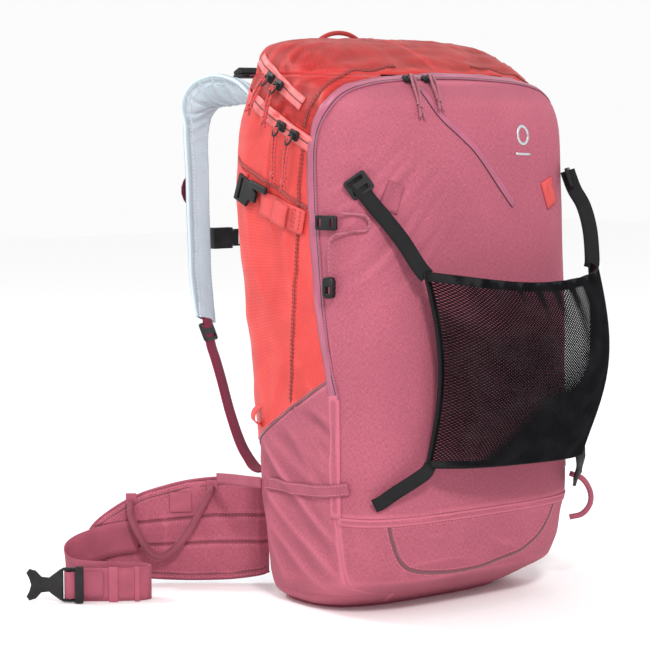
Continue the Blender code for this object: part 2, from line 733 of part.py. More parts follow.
def make_helmet_net():
    rows = []
    for k in range(9):
        rows.append([net_point(i / 14, k / 8) for i in range(15)])
    sheet("helmet_net", rows, 0.0016, "net", pivot=NET_HINGE, offset=0.0)


def make_net_straps():
    straps = (
        ("upper_left", (0.75, -0.45, 0.45), ((-0.1370, -0.1380, 0.4370), (-0.1205, -0.1500, 0.4130),
                                             (-0.1090, -0.1600, 0.3935), (-0.0985, -0.1720, 0.3690))),
        ("upper_right", (0.75, -0.62, 0), ((0.1470, -0.1440, 0.4400), (0.1490, -0.1560, 0.4230),
                                           (0.1450, -0.1700, 0.3980), (0.1340, -0.1850, 0.3680))),
        ("lower_left", (0.65, 0, -0.75), ((-0.0940, -0.1795, 0.1590), (-0.1060, -0.1735, 0.1500),
                                          (-0.1215, -0.1640, 0.1390), (-0.1330, -0.1535, 0.1285))),
        ("lower_right", (0.75, 0, 0.65), ((0.1215, -0.1835, 0.1560), (0.1285, -0.1770, 0.1485),
                                          (0.1345, -0.1690, 0.1420))),
    )
    for word, across, path in straps:
        webbing(f"net_strap_{word}", path, NET_WEBBING, 0.0014, [across], "black", NET_HINGE)
    locks = (
        ("upper_left", (-0.1450, -0.1325, 0.4510), (0.60, -0.80, 0.69), (0.0218, -0.0119, -0.0325)),
        ("upper_right", (0.1455, -0.1380, 0.4535), (0.75, 0.62, 0), (0.05, -0.40, -1)),
        ("lower_right", (0.1420, -0.1590, 0.1320), (0.55, 0.2, 0.75), (0.45, 0.60, -0.60)),
    )
    for word, centre, across, along in locks:
        make_ladder_lock(f"net_lock_{word}", centre, across, along, NET_WEBBING)


# ---- zips, cords and loops ----------------------------------------------------------------

def side_surface(y, z, out):
    """A place beside the left wall, that far out from it."""
    return (-side_x(y, z) - out, y, z)


def slider_table():
    """Each zip slider's name, place, run and outward direction, and its cord's fall."""
    climb = (0.0, 1.0, 0.42)
    lid_climb = (0.0, 0.9, 0.455)
    front_out = (0, -0.6, 0.8)
    return (
        ("lid_zip_slider_back", side_surface(0.001, 0.5610, 0.0045), lid_climb, LEFT,
         (-0.005, 0.028, -0.040)),
        ("lid_zip_slider_front", side_surface(-0.017, 0.5530, 0.0045), lid_climb, LEFT,
         (-0.005, 0.014, -0.046)),
        ("main_zip_slider_back", side_surface(-0.0308, 0.5100, 0.0050), climb, LEFT,
         (-0.002, 0.003, -0.062)),
        ("main_zip_slider_front", side_surface(-0.0533, 0.5010, 0.0050), climb, LEFT,
         (-0.002, 0.008, -0.060)),
        ("front_zip_slider_left", (-0.061, -0.1118, 0.5598), (1, 0, 0), front_out,
         (-0.014, -0.036, -0.048)),
        ("front_zip_slider_right", (-0.0356, -0.1122, 0.5598), (1, 0, 0), front_out,
         (-0.014, -0.036, -0.040)),
    )


def make_zip_sliders():
    for name, place, along, out, fall in slider_table():
        block(name, (0.0115, 0.0075, 0.0040), place, along, Vector(out).cross(Vector(along)), "black")
        out = Vector(out).normalized()
        top = Vector(place) + out * 0.0052 + Vector(fall) * 0.02
        path = []
        for u in (0.0, 0.25, 0.5, 0.75, 1.0):
            path.append(tuple(top + Vector(fall) * u + out * 0.001 * math.sin(math.pi * u)))
        colour = "mauve" if name.startswith("front") else "coral"
        cord(name.replace("zip_slider", "pull_cord"), path, 0.0016, colour, path[0])


def make_haul_handle():
    path = []
    for i in range(13):
        angle = math.pi * i / 12
        x = 0.044 * math.cos(angle)
        rise = math.sin(angle) ** 0.8
        path.append((x + 0.006, 0.0935 - 0.004 * rise, 0.545 + 0.068 * rise))
    cord("haul_handle", path, 0.0028, "red", path[0])


def make_compression():
    y0, z0, y1, z1 = 0.0020, 0.4290, -0.0680, 0.4110
    path = []
    for i in range(6):
        u = i / 5
        y, z = y0 + (y1 - y0) * u, z0 + (z1 - z0) * u
        path.append(side_surface(y, z, 0.0035))
    webbing("compression_webbing", path, 0.026, 0.0016, [(0, 0.25, 0.97)], "coral")
    pivot = side_surface(0.0400, 0.4455, 0.0070)
    outline = [(-0.003, -0.0145), (0.020, -0.0140), (0.022, -0.0060), (0.033, -0.0040),
               (0.033, 0.0060), (0.020, 0.0130), (-0.003, 0.0145)]
    slot = [rectangle(0.0030, -0.0120, 0.0065, 0.0120)]
    forward, up = (-0.03, -0.92, -0.38), (0, -0.38, 0.92)
    plate("compression_hook", outline, slot, 0.0040, pivot, forward, up, "black", bevel=0.0006)


def make_side_loops():
    path = [side_surface(0.020, 0.2140, 0.0015), side_surface(0.025, 0.2070, 0.0070),
            side_surface(0.026, 0.1960, 0.0075), side_surface(0.022, 0.1870, 0.0020)]
    webbing("rear_loop", path, 0.010, 0.0014, [(0.3, 1.0, 0.2)], "red")
    path = [(0.1500, -0.1380, 0.128), (0.160, -0.148, 0.122), (0.167, -0.153, 0.108),
            (0.167, -0.153, 0.094), (0.160, -0.148, 0.083), (0.1500, -0.1385, 0.079)]
    cord("side_loop", path, 0.0032, "mauve", path[0])


def make_axe_holder():
    clip_at = (-0.1650, -0.1050, 0.4125)
    outline = rounded(-0.013, -0.0075, 0.013, 0.0075, 0.002, 2)
    slots = (rectangle(-0.0100, -0.0040, -0.0060, 0.0040), rectangle(0.0050, -0.0040, 0.0090, 0.0040))
    plate("axe_clip", outline, slots, 0.0040, clip_at, (0.286, -0.958, 0.0), (0, 0, 1), "black", bevel=0.0006)
    loop = [(-0.1655, -0.1110, 0.3620), (-0.1665, -0.1110, 0.3850), (-0.1650, -0.1140, 0.3980),
            (-0.1580, -0.1220, 0.4025), (-0.1480, -0.1310, 0.4045), (-0.1400, -0.1385, 0.4060),
            (-0.1375, -0.1410, 0.4130),
            (-0.1400, -0.1380, 0.4200), (-0.1480, -0.1300, 0.4220), (-0.1580, -0.1210, 0.4225)]
    cord("axe_bungee", loop, 0.0013, "mauve", loop[0])
    lock_at = (-0.1665, -0.1115, 0.3470)
    outline = rounded(-0.0065, -0.0110, 0.0065, 0.0110, 0.004, 2)
    slots = (rectangle(-0.0030, -0.0060, 0.0030, 0.0010),)
    across = (0.25, -0.97, 0.0)
    plate("axe_cord_lock", outline, slots, 0.0070, lock_at, across, (0, 0, 1), "black", bevel=0.0008)


# ---- which piece rides on which -----------------------------------------------------------

RIDERS = {
    "lid": ("lid_liner", "lid_zip_slider_back", "lid_zip_slider_front"),
    "front_flap": ("helmet_net", "front_zip_slider_left", "front_zip_slider_right"),
    "helmet_net": ("net_strap_upper_left", "net_strap_upper_right", "net_strap_lower_left",
                   "net_strap_lower_right", "net_lock_upper_left", "net_lock_upper_right",
                   "net_lock_lower_right"),
    "shoulder_strap_left": ("strap_webbing_left", "strap_lock_left", "load_lifter_left",
                            "lifter_lock_left", "sternum_female"),
    "shoulder_strap_right": ("strap_webbing_right", "strap_lock_right", "load_lifter_right",
                             "lifter_lock_right", "sternum_slider"),
    "sternum_slider": ("sternum_webbing", "sternum_male"),
    "hip_wing_left": ("belt_webbing_left", "belt_buckle_male", "gear_loop"),
    "hip_wing_right": ("belt_webbing_right", "belt_buckle_female"),
    "lid_zip_slider_back": ("lid_pull_cord_back",),
    "lid_zip_slider_front": ("lid_pull_cord_front",),
    "main_zip_slider_back": ("main_pull_cord_back",),
    "main_zip_slider_front": ("main_pull_cord_front",),
    "front_zip_slider_left": ("front_pull_cord_left",),
    "front_zip_slider_right": ("front_pull_cord_right",),
}


def attach_riders():
    bpy.context.view_layer.update()
    for parent_name, names in RIDERS.items():
        parent = bpy.data.objects[parent_name]
        for name in names:
            child = bpy.data.objects[name]
            child.parent = parent
            child.matrix_parent_inverse = parent.matrix_world.inverted()


clear_scene()
PACK = new_collection("ski_backpack")
make_main_bag()
make_bottom_tub()
make_front_flap()
make_lid()
make_lid_liner()
make_frame_sheet()
make_stays()
make_back_padding()
make_shoulder_straps()
make_sternum()
make_hip_belt()
make_helmet_net()
make_net_straps()
make_zip_sliders()
make_haul_handle()
make_compression()
make_side_loops()
make_axe_holder()
attach_riders()
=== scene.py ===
"""The looks of a ski backpack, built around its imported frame.

The bag is cloth laid on one smooth body surface: every shell, tape, seam and stitch is settled on
it, so they meet everywhere. Straps, wings and pads are cushions; the net is real strands.
Sizes are in metres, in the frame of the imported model: Z up, -Y the front, +Y the wearer's side.
"""
import json
import math

import bmesh
import bpy
import numpy as np
from mathutils import Matrix, Vector, noise


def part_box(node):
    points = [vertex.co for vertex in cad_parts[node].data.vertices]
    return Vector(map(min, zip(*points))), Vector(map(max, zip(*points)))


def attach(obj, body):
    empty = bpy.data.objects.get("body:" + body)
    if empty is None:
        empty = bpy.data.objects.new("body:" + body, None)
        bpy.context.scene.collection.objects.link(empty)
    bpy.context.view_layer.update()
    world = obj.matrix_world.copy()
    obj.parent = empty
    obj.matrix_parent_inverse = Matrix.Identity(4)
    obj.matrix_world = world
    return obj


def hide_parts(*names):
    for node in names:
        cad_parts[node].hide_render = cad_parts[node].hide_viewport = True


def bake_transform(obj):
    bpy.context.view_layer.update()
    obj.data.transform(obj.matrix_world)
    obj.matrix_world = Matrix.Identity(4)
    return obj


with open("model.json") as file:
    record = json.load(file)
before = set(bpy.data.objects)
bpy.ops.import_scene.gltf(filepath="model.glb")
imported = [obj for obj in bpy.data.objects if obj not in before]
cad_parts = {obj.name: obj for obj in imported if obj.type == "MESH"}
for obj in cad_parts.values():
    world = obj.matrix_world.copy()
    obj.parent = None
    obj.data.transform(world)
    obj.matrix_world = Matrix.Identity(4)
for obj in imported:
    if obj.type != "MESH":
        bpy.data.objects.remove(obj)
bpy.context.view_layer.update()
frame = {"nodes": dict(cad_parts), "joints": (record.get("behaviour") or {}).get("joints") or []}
NODES = frame["nodes"]
JOINTS = {joint["name"]: joint for joint in frame["joints"]}

# ---- driving sizes ------------------------------------------------------------------------

# height, half width, back, front, squareness of the outline
BODY = (
    (0.000, 0.124, 0.050, -0.078, 3.0),
    (0.010, 0.140, 0.056, -0.098, 3.2),
    (0.025, 0.149, 0.057, -0.124, 3.4),
    (0.040, 0.153, 0.057, -0.146, 3.7),
    (0.100, 0.158, 0.060, -0.162, 4.0),
    (0.140, 0.160, 0.062, -0.163, 4.0),
    (0.200, 0.161, 0.067, -0.160, 4.2),
    (0.330, 0.164, 0.086, -0.155, 4.2),
    (0.430, 0.165, 0.099, -0.148, 4.2),
    (0.500, 0.163, 0.097, -0.148, 4.1),
    (0.530, 0.161, 0.091, -0.139, 3.9),
    (0.548, 0.157, 0.087, -0.121, 3.7),
    (0.563, 0.153, 0.082, -0.096, 3.4),
    (0.576, 0.150, 0.078, -0.072, 3.2),
    (0.588, 0.142, 0.077, -0.048, 3.0),
    (0.597, 0.128, 0.071, -0.024, 2.8),
    (0.602, 0.105, 0.059, -0.002, 2.6),
    (0.604, 0.080, 0.045, 0.010, 2.5),
)
# how far forward the front zip runs, by height
SEAM = ((0.00, -0.111), (0.23, -0.110), (0.34, -0.091), (0.45, -0.081), (0.50, -0.082),
        (0.53, -0.093), (0.55, -0.099), (0.61, -0.099))
SHELF_Z = 0.1040          # floor of the front compartment
FLAP_Z = 0.1070           # lower edge of the front panel
FLAP_TOP_Z = 0.5590
CROWN_Z = 0.5635          # above this the lid goes all the way round
CROWN_HEIGHTS = (CROWN_Z, 0.567, 0.5705, 0.574, 0.5775, 0.581, 0.5845, 0.588, 0.591, 0.5935, 0.596,
                 0.598, 0.5997, 0.6011, 0.6022, 0.603)
CLOTH = 0.0012
CORD = 0.0014             # radius of a pull cord
LEFT, RIGHT = -1, 1
SIDES = ((LEFT, "left"), (RIGHT, "right"))
OUTSIDE = 0.17            # clear of the body: outlines drawn there are settled onto it

STRAP_PATH = (
    (-0.064, 0.1035, 0.510), (-0.066, 0.1165, 0.532), (-0.072, 0.139, 0.5455),
    (-0.078, 0.163, 0.5500), (-0.082, 0.190, 0.5490), (-0.085, 0.2180, 0.5410),
    (-0.086, 0.235, 0.5230), (-0.087, 0.239, 0.4950), (-0.087, 0.237, 0.4550),
    (-0.088, 0.2345, 0.415), (-0.088, 0.2325, 0.375), (-0.089, 0.2290, 0.338),
    (-0.091, 0.2200, 0.305), (-0.093, 0.2125, 0.286),
)
STRAP_WIDTHS = [0.046, 0.052, 0.057] + [0.060] * 6 + [0.059, 0.058, 0.055, 0.048, 0.040]
STRAP_THICKS = [0.004, 0.009, 0.013] + [0.014] * 8 + [0.013, 0.011, 0.005]
STRAP_TURNS = (0, 0, 3, 8, 14, 21, 27, 31, 33, 33, 33, 32, 30, 28)
STRAP_WEBBING = (
    (-0.0930, 0.2100, 0.2880), (-0.0938, 0.2075, 0.2790), (-0.0948, 0.2030, 0.2680),
    (-0.0962, 0.1965, 0.2560), (-0.0980, 0.186, 0.2425), (-0.101, 0.170, 0.2200),
    (-0.106, 0.146, 0.1850), (-0.1115, 0.118, 0.1540), (-0.1165, 0.0900, 0.1365),
    (-0.1200, 0.0720, 0.1320), (-0.1210, 0.0590, 0.1320),
)
LOAD_LIFTER = ((-0.066, 0.0900, 0.5510), (-0.067, 0.0985, 0.5625), (-0.069, 0.1160, 0.5660),
               (-0.0705, 0.1430, 0.5645))
WING_ROOT = (-0.098, 0.084)
WING_DIR = (-0.788, 0.616)
WING_OUT = (-0.616, -0.788)
WING_THICK = 0.014
WING_STATIONS = (
    (0.000, 0.012, 0.116, 0.45), (0.012, 0.008, 0.119, 0.9), (0.045, 0.004, 0.121, 1.0),
    (0.090, 0.003, 0.117, 1.0), (0.135, 0.005, 0.105, 1.0), (0.160, 0.010, 0.094, 1.0),
    (0.183, 0.018, 0.079, 0.9), (0.196, 0.028, 0.067, 0.6), (0.202, 0.040, 0.056, 0.3),
)
BELT_PLAN = (
    (0.147, 0.0090, 0.055), (0.175, 0.0105, 0.051), (0.202, 0.0140, 0.043),
    (0.216, 0.0200, 0.036), (0.222, 0.0300, 0.029), (0.221, 0.0420, 0.023),
    (0.211, 0.0520, 0.020), (0.190, 0.0580, 0.0190), (0.160, 0.0620, 0.0190),
    (0.140, 0.0660, 0.0190), (0.129, 0.0720, 0.0190), (0.126, 0.0800, 0.0190),
    (0.130, 0.0880, 0.0190), (0.145, 0.0930, 0.0190), (0.172, 0.0955, 0.0190),
    (0.200, 0.0970, 0.0190),
)
BELT_WIDTH = 0.036
GEAR_LOOP = (
    (0.153, 0.0125, 0.094), (0.152, 0.017, 0.078), (0.143, 0.022, 0.058),
    (0.130, 0.024, 0.039), (0.118, 0.024, 0.035), (0.105, 0.024, 0.043),
    (0.090, 0.023, 0.060), (0.074, 0.021, 0.088), (0.065, 0.017, 0.105),
    (0.063, 0.0125, 0.109),
)
STERNUM_Y = 0.2465
STERNUM_Z = 0.377
NET_STRAND = 0.0021
NET_COUNTS = (132, 122)   # half meshes across and up the net
DAISY = slice(34, 104)    # the stations of the shoulder strap that carry the sewn webbing
BINDING_SHARE = 0.965     # where the strap's binding and stitching run, as shares of its half width
STITCH_SHARE = 0.764
BUCKLE_Z = 0.0195         # middle height of the hip belt's buckles and the webbing threaded in them

# linear colours
RED = (0.740, 0.064, 0.058)
LID_RED = (0.430, 0.018, 0.016)
CORAL = (0.700, 0.085, 0.085)
MAUVE = (0.375, 0.088, 0.133)
BELT_RED = (0.370, 0.085, 0.130)
MAROON = (0.225, 0.018, 0.055)
PALE = (0.590, 0.720, 0.790)
GREY = (0.30, 0.31, 0.33)
BLACK = (0.007, 0.007, 0.008)

# sizes of the weaves
RIPSTOP_CELL = 0.0036
CANVAS_THREAD = 0.0009
BRAID_PITCH = 0.0022


# ---- materials ----------------------------------------------------------------------------

def darker(colour, share):
    return tuple(c * share for c in colour)


def lighter(colour, share):
    return tuple(min(1.0, c * share + 0.02) for c in colour)


def new_material(name, colour, roughness, metallic=0.0, sheen=0.0, specular=0.5):
    material = bpy.data.materials.new(name)
    material.use_nodes = True
    shader = material.node_tree.nodes["Principled BSDF"]
    settings = {"Base Color": (*colour, 1.0), "Roughness": roughness, "Metallic": metallic,
                "Sheen Weight": sheen, "Sheen Roughness": 0.5, "Specular IOR Level": specular}
    for socket, value in settings.items():
        shader.inputs[socket].default_value = value
    return material, material.node_tree, shader


def feed(tree, socket, value):
    """A socket set to a number or a colour, or linked to another node's output."""
    if isinstance(value, (int, float)):
        socket.default_value = value
    elif isinstance(value, tuple):
        socket.default_value = (*value, 1.0)
    else:
        tree.links.new(value, socket)


def maths(tree, operation, *values):
    node = tree.nodes.new("ShaderNodeMath")
    node.operation = operation
    for socket, value in zip(node.inputs, values):
        feed(tree, socket, value)
    return node.outputs[0]


def mix_colour(tree, factor, first, second):
    node = tree.nodes.new("ShaderNodeMix")
    node.data_type = "RGBA"
    for k, value in ((0, factor), (6, first), (7, second)):
        feed(tree, node.inputs[k], value)
    return node.outputs[2]


def shade(tree, base, mask, share, colour):
    """A colour mixed in by a share of a mask."""
    return mix_colour(tree, maths(tree, "MULTIPLY", mask, share), base, colour)


def sum_of(tree, first, second, share):
    """One height plus a share of another."""
    return maths(tree, "ADD", first, maths(tree, "MULTIPLY", second, share))


def object_place(tree):
    return tree.nodes.new("ShaderNodeTexCoord").outputs["Object"]


def cloth_axes(tree):
    """The cloth's own two directions, in metres, from the piece's UV map."""
    uv_map = tree.nodes.new("ShaderNodeUVMap")
    uv_map.uv_map = "cloth"
    split = tree.nodes.new("ShaderNodeSeparateXYZ")
    tree.links.new(uv_map.outputs[0], split.inputs[0])
    return split.outputs[0], split.outputs[1], uv_map.outputs[0]


def stretched(tree, vector, scale):
    node = tree.nodes.new("ShaderNodeMapping")
    node.inputs["Scale"].default_value = scale
    tree.links.new(vector, node.inputs["Vector"])
    return node.outputs[0]


def noise_value(tree, scale, detail, vector=None):
    node = tree.nodes.new("ShaderNodeTexNoise")
    node.inputs["Scale"].default_value = scale
    node.inputs["Detail"].default_value = detail
    tree.links.new(vector or object_place(tree), node.inputs["Vector"])
    return node.outputs["Fac"]


def ramp(tree, value, low, high, out_low=0.0, out_high=1.0):
    node = tree.nodes.new("ShaderNodeMapRange")
    for socket, limit in (("From Min", low), ("From Max", high), ("To Min", out_low), ("To Max", out_high)):
        node.inputs[socket].default_value = limit
    tree.links.new(value, node.inputs["Value"])
    return node.outputs[0]


def surface(tree, shader, base, rough, height, strength, distance):
    """The shader's colour and roughness, where given, and its fine relief."""
    if base:
        tree.links.new(base, shader.inputs["Base Color"])
    if rough:
        tree.links.new(rough, shader.inputs["Roughness"])
    node = tree.nodes.new("ShaderNodeBump")
    node.inputs["Strength"].default_value = strength
    node.inputs["Distance"].default_value = distance
    tree.links.new(height, node.inputs["Height"])
    tree.links.new(node.outputs[0], shader.inputs["Normal"])


def ridge(tree, axis, period):
    """0 to 1 and back once per period, in the axis's unit."""
    wave = maths(tree, "SINE", maths(tree, "MULTIPLY", axis, 2 * math.pi / period))
    return maths(tree, "MULTIPLY_ADD", wave, 0.5, 0.5)


def line_mask(tree, axis, period, width):
    """1 on a thin line once per period."""
    away = maths(tree, "PINGPONG", axis, period / 2)
    return maths(tree, "LESS_THAN", away, width / 2)


def basket(tree, across, along, period):
    """Over-and-under of a plain weave."""
    first, second = (maths(tree, "SINE", maths(tree, "MULTIPLY", axis, math.pi / period))
                     for axis in (across, along))
    return maths(tree, "MULTIPLY_ADD", maths(tree, "MULTIPLY", first, second), 0.5, 0.5)


def paint_crease_shade_and_ridge_highlight(tree, base, dark, light):
    """Painted shade makes the creases darker and a painted highlight makes the ridges a little lighter, read
    from the shape itself.
    """
    shape = tree.nodes.new("ShaderNodeNewGeometry").outputs["Pointiness"]
    # painted shade: darker where the shape is hollow
    base = mix_colour(tree, ramp(tree, shape, 0.499, 0.468, 0.0, 0.95), base, dark)
    # painted highlight: lighter where the shape stands out
    return mix_colour(tree, ramp(tree, shape, 0.504, 0.530, 0.0, 0.60), base, light)


def ripstop(name, colour, dark):
    """Light coated cloth with a grid of stronger threads and a slight sheen."""
    material, tree, shader = new_material(name, colour, 0.42, specular=0.24)
    across, along, _uv = cloth_axes(tree)
    grid = maths(tree, "MAXIMUM", line_mask(tree, across, RIPSTOP_CELL, 0.0008),
                 line_mask(tree, along, RIPSTOP_CELL, 0.0010))
    weave = basket(tree, across, along, 0.0006)
    tint = ramp(tree, noise_value(tree, 26.0, 4.0), 0.3, 0.7)
    base = shade(tree, colour, tint, 0.45, dark)
    base = shade(tree, base, grid, 0.45, dark)
    base = shade(tree, base, weave, 0.12, dark)
    # painted shade in the creases and a painted highlight on the ridges, in a lighter copy of the cloth's
    # colour
    base = paint_crease_shade_and_ridge_highlight(tree, base, dark, lighter(colour, 1.3))
    height = sum_of(tree, maths(tree, "MULTIPLY", grid, 0.8), weave, 0.35)
    surface(tree, shader, base, ramp(tree, tint, 0.0, 1.0, 0.36, 0.50), height, 0.5, 0.0005)
    return material


def canvas(name, colour, dark, light):
    """Heathered plain weave: threads of two shades, matt."""
    material, tree, shader = new_material(name, colour, 0.8, sheen=0.03, specular=0.20)
    across, along, uv = cloth_axes(tree)
    weave = basket(tree, across, along, CANVAS_THREAD)
    warp, weft = (noise_value(tree, 1.0, 1.0, stretched(tree, uv, scale))
                  for scale in ((1500.0, 260.0, 1.0), (260.0, 1500.0, 1.0)))
    heather = maths(tree, "MULTIPLY", maths(tree, "ADD", warp, weft), 0.5)
    base = mix_colour(tree, ramp(tree, heather, 0.36, 0.64), dark, light)
    base = mix_colour(tree, 0.55, base, colour)
    base = shade(tree, base, ramp(tree, noise_value(tree, 14.0, 3.0), 0.35, 0.65), 0.16, dark)
    # painted shade in the creases and a painted highlight on the ridges, in the weave's dark and light shades
    base = paint_crease_shade_and_ridge_highlight(tree, base, dark, light)
    rough = ramp(tree, heather, 0.3, 0.7, 0.72, 0.88)
    surface(tree, shader, base, rough, sum_of(tree, weave, heather, 0.6), 0.45, 0.0005)
    return material


def woven_tape(name, colour, dark, rib=0.0022, sheen=0.04):
    """Webbing: chevron ribs along the strap."""
    material, tree, shader = new_material(name, colour, 0.72, sheen=sheen, specular=0.2)
    across, along, _uv = cloth_axes(tree)
    slant = maths(tree, "ADD", maths(tree, "PINGPONG", across, rib * 2), along)
    twill = ridge(tree, slant, rib)
    wear = ramp(tree, noise_value(tree, 60.0, 3.0), 0.35, 0.7)
    base = shade(tree, colour, twill, 0.5, dark)
    base = shade(tree, base, wear, 0.2, lighter(colour, 1.6))
    height = sum_of(tree, twill, ridge(tree, along, rib / 2), 0.4)
    surface(tree, shader, base, ramp(tree, wear, 0.0, 1.0, 0.66, 0.8), height, 0.6, 0.0006)
    return material


def zip_tape(name, colour, dark, width, line_at=0.5):
    """Coated zip tape: plain cloth each side of a dark closed coil."""
    material, tree, shader = new_material(name, colour, 0.5, sheen=0.1)
    across, along, _uv = cloth_axes(tree)
    away = maths(tree, "ABSOLUTE", maths(tree, "SUBTRACT", across, (line_at - 0.5) * width))
    gap = maths(tree, "LESS_THAN", away, 0.0007)
    coil = maths(tree, "LESS_THAN", away, 0.0024)
    teeth = maths(tree, "MULTIPLY", ridge(tree, along, 0.0013), coil)
    edge = maths(tree, "GREATER_THAN", maths(tree, "ABSOLUTE", across), width / 2 - 0.0016)
    threads = maths(tree, "MULTIPLY", edge, line_mask(tree, along, 0.0032, 0.0019))
    base = shade(tree, colour, ramp(tree, noise_value(tree, 40.0, 3.0), 0.3, 0.7), 0.3, dark)
    base = shade(tree, base, threads, 0.5, dark)
    base = mix_colour(tree, gap, base, darker(dark, 0.12))
    height = maths(tree, "SUBTRACT", maths(tree, "MULTIPLY", teeth, 0.7), gap)
    surface(tree, shader, base, ramp(tree, teeth, 0.0, 1.0, 0.42, 0.58), height, 0.6, 0.0006)
    return material


def spacer_mesh(name, colour, dark):
    """Lining with a fine honeycomb of holes."""
    material, tree, shader = new_material(name, colour, 0.85, sheen=0.08)
    cells = tree.nodes.new("ShaderNodeTexVoronoi")
    cells.inputs["Scale"].default_value = 520.0
    cells.inputs["Randomness"].default_value = 0.25
    tree.links.new(cloth_axes(tree)[2], cells.inputs["Vector"])
    holes = ramp(tree, cells.outputs["Distance"], 0.18, 0.42, 1.0, 0.0)
    # the holes are darkened: painted shade inside the honeycomb's holes
    base = shade(tree, colour, holes, 0.42, dark)
    base = shade(tree, base, ramp(tree, noise_value(tree, 30.0, 3.0), 0.35, 0.7), 0.18, dark)
    # painted shade in the creases and a painted highlight on the ridges, back toward the lining's own colour
    base = paint_crease_shade_and_ridge_highlight(tree, base, dark, colour)
    height = maths(tree, "SUBTRACT", 1.0, holes)
    surface(tree, shader, base, ramp(tree, holes, 0.0, 1.0, 0.8, 0.95), height, 0.5, 0.0006)
    return material


def braid(name, colour, dark):
    """Round braided cord: slanting strands."""
    material, tree, shader = new_material(name, colour, 0.6, sheen=0.2)
    waves = tree.nodes.new("ShaderNodeTexWave")
    waves.wave_type = "BANDS"
    waves.bands_direction = "DIAGONAL"
    waves.inputs["Scale"].default_value = 0.32 / BRAID_PITCH
    waves.inputs["Distortion"].default_value = 1.5
    tree.links.new(object_place(tree), waves.inputs["Vector"])
    strands = waves.outputs["Fac"]
    base = shade(tree, colour, strands, 0.55, dark)
    surface(tree, shader, base, ramp(tree, strands, 0.0, 1.0, 0.55, 0.7), strands, 0.5, 0.0005)
    return material


def plastic(name, colour, roughness=0.40, specular=0.26):
    """Moulded acetal: fine spark texture, a little uneven in gloss."""
    material, tree, shader = new_material(name, colour, roughness, specular=specular)
    blotch = noise_value(tree, 45.0, 3.0)
    polished = tuple(c * 1.8 + 0.006 for c in colour)
    base = mix_colour(tree, ramp(tree, blotch, 0.4, 0.75), colour, polished)
    rough = ramp(tree, blotch, 0.3, 0.7, roughness - 0.07, roughness + 0.1)
    surface(tree, shader, base, rough, noise_value(tree, 1400.0, 2.0), 0.25, 0.0002)
    return material


def brushed_metal(name, colour, roughness=0.3):
    """Metal drawn along one direction, with fine lines."""
    material, tree, shader = new_material(name, colour, roughness, metallic=1.0)
    lines = noise_value(tree, 1.0, 2.0, stretched(tree, object_place(tree), (900.0, 900.0, 20.0)))
    rough = ramp(tree, lines, 0.3, 0.7, roughness - 0.08, roughness + 0.14)
    surface(tree, shader, None, rough, lines, 0.1, 0.0002)
    return material

# Webbing with its placement baked into its mesh, where it lies.

def thread(name, colour):
    """Twisted sewing thread."""
    material, tree, shader = new_material(name, colour, 0.6, sheen=0.2)
    twist = noise_value(tree, 900.0, 1.0)
    base = mix_colour(tree, ramp(tree, twist, 0.3, 0.7), colour, darker(colour, 0.6))
    surface(tree, shader, base, None, twist, 0.3, 0.0002)
    return material


MATERIALS = {
    # each ripstop's dark shade (red, lid red, lining) colours its grid, weave and mottle, and also paints
    # shade in its creases
    "red": ripstop("red_ripstop", RED, darker(RED, 0.55)),
    "lid_red": ripstop("lid_ripstop", LID_RED, darker(LID_RED, 0.45)),
    # the canvas's dark and light shades colour its heathered threads, and also paint shade in its creases and
    # a highlight on its ridges
    "mauve": canvas("mauve_canvas", MAUVE, darker(MAUVE, 0.55), lighter(MAUVE, 1.5)),
    "lining": ripstop("lining", GREY, darker(GREY, 0.6)),
    # the spacer mesh's dark shade paints shade in its holes and creases, and gives a random mottle
    "mesh": spacer_mesh("spacer_mesh", PALE, darker(PALE, 0.5)),
    "coral_tape": zip_tape("coral_zip_tape", (0.76, 0.150, 0.150), (0.42, 0.030, 0.030), 0.016),
    "mauve_tape": zip_tape("mauve_zip_tape", (0.400, 0.085, 0.160), darker(MAUVE, 0.30), 0.013, 0.76),
    "belt": woven_tape("belt_webbing", BELT_RED, darker(BELT_RED, 0.5)),
    "maroon": woven_tape("maroon_webbing", MAROON, darker(MAROON, 0.45)),
    "coral": woven_tape("coral_webbing", CORAL, darker(CORAL, 0.5)),
    "mauve_webbing": woven_tape("mauve_webbing", MAUVE, darker(MAUVE, 0.5)),
    "loop_webbing": woven_tape("loop_webbing", darker(MAUVE, 0.74), darker(MAUVE, 0.42)),
    "black_webbing": woven_tape("black_webbing", (0.009, 0.009, 0.010), (0.004, 0.004, 0.005), 0.0018, 0.0),
    "net": plastic("net_strands", (0.004, 0.004, 0.005), 0.8, 0.10),
    "coral_cord": braid("coral_braid", (0.56, 0.035, 0.035), darker(CORAL, 0.25)),
    "mauve_cord": braid("mauve_braid", MAUVE, darker(MAUVE, 0.35)),
    "red_cord": braid("red_braid", LID_RED, darker(LID_RED, 0.4)),
    "plastic": plastic("black_plastic", BLACK),
    "dark_plastic": plastic("slider_plastic", (0.010, 0.010, 0.011), 0.33),
    "sheet": plastic("frame_plastic", (0.72, 0.72, 0.69), 0.5),
    "metal": brushed_metal("stay_aluminium", (0.72, 0.73, 0.75)),
    "seam": thread("dark_seam", darker(RED, 0.40)),
    "mauve_seam": thread("mauve_seam", darker(MAUVE, 0.45)),
    "red_thread": thread("red_thread", darker(RED, 0.22)),
    "mauve_thread": thread("mauve_thread", lighter(MAUVE, 1.7)),
    "pale_thread": thread("pale_thread", darker(PALE, 0.8)),
    "mark": brushed_metal("grey_mark", (0.62, 0.63, 0.66), 0.4),
}


# ---- the body surface ---------------------------------------------------------------------

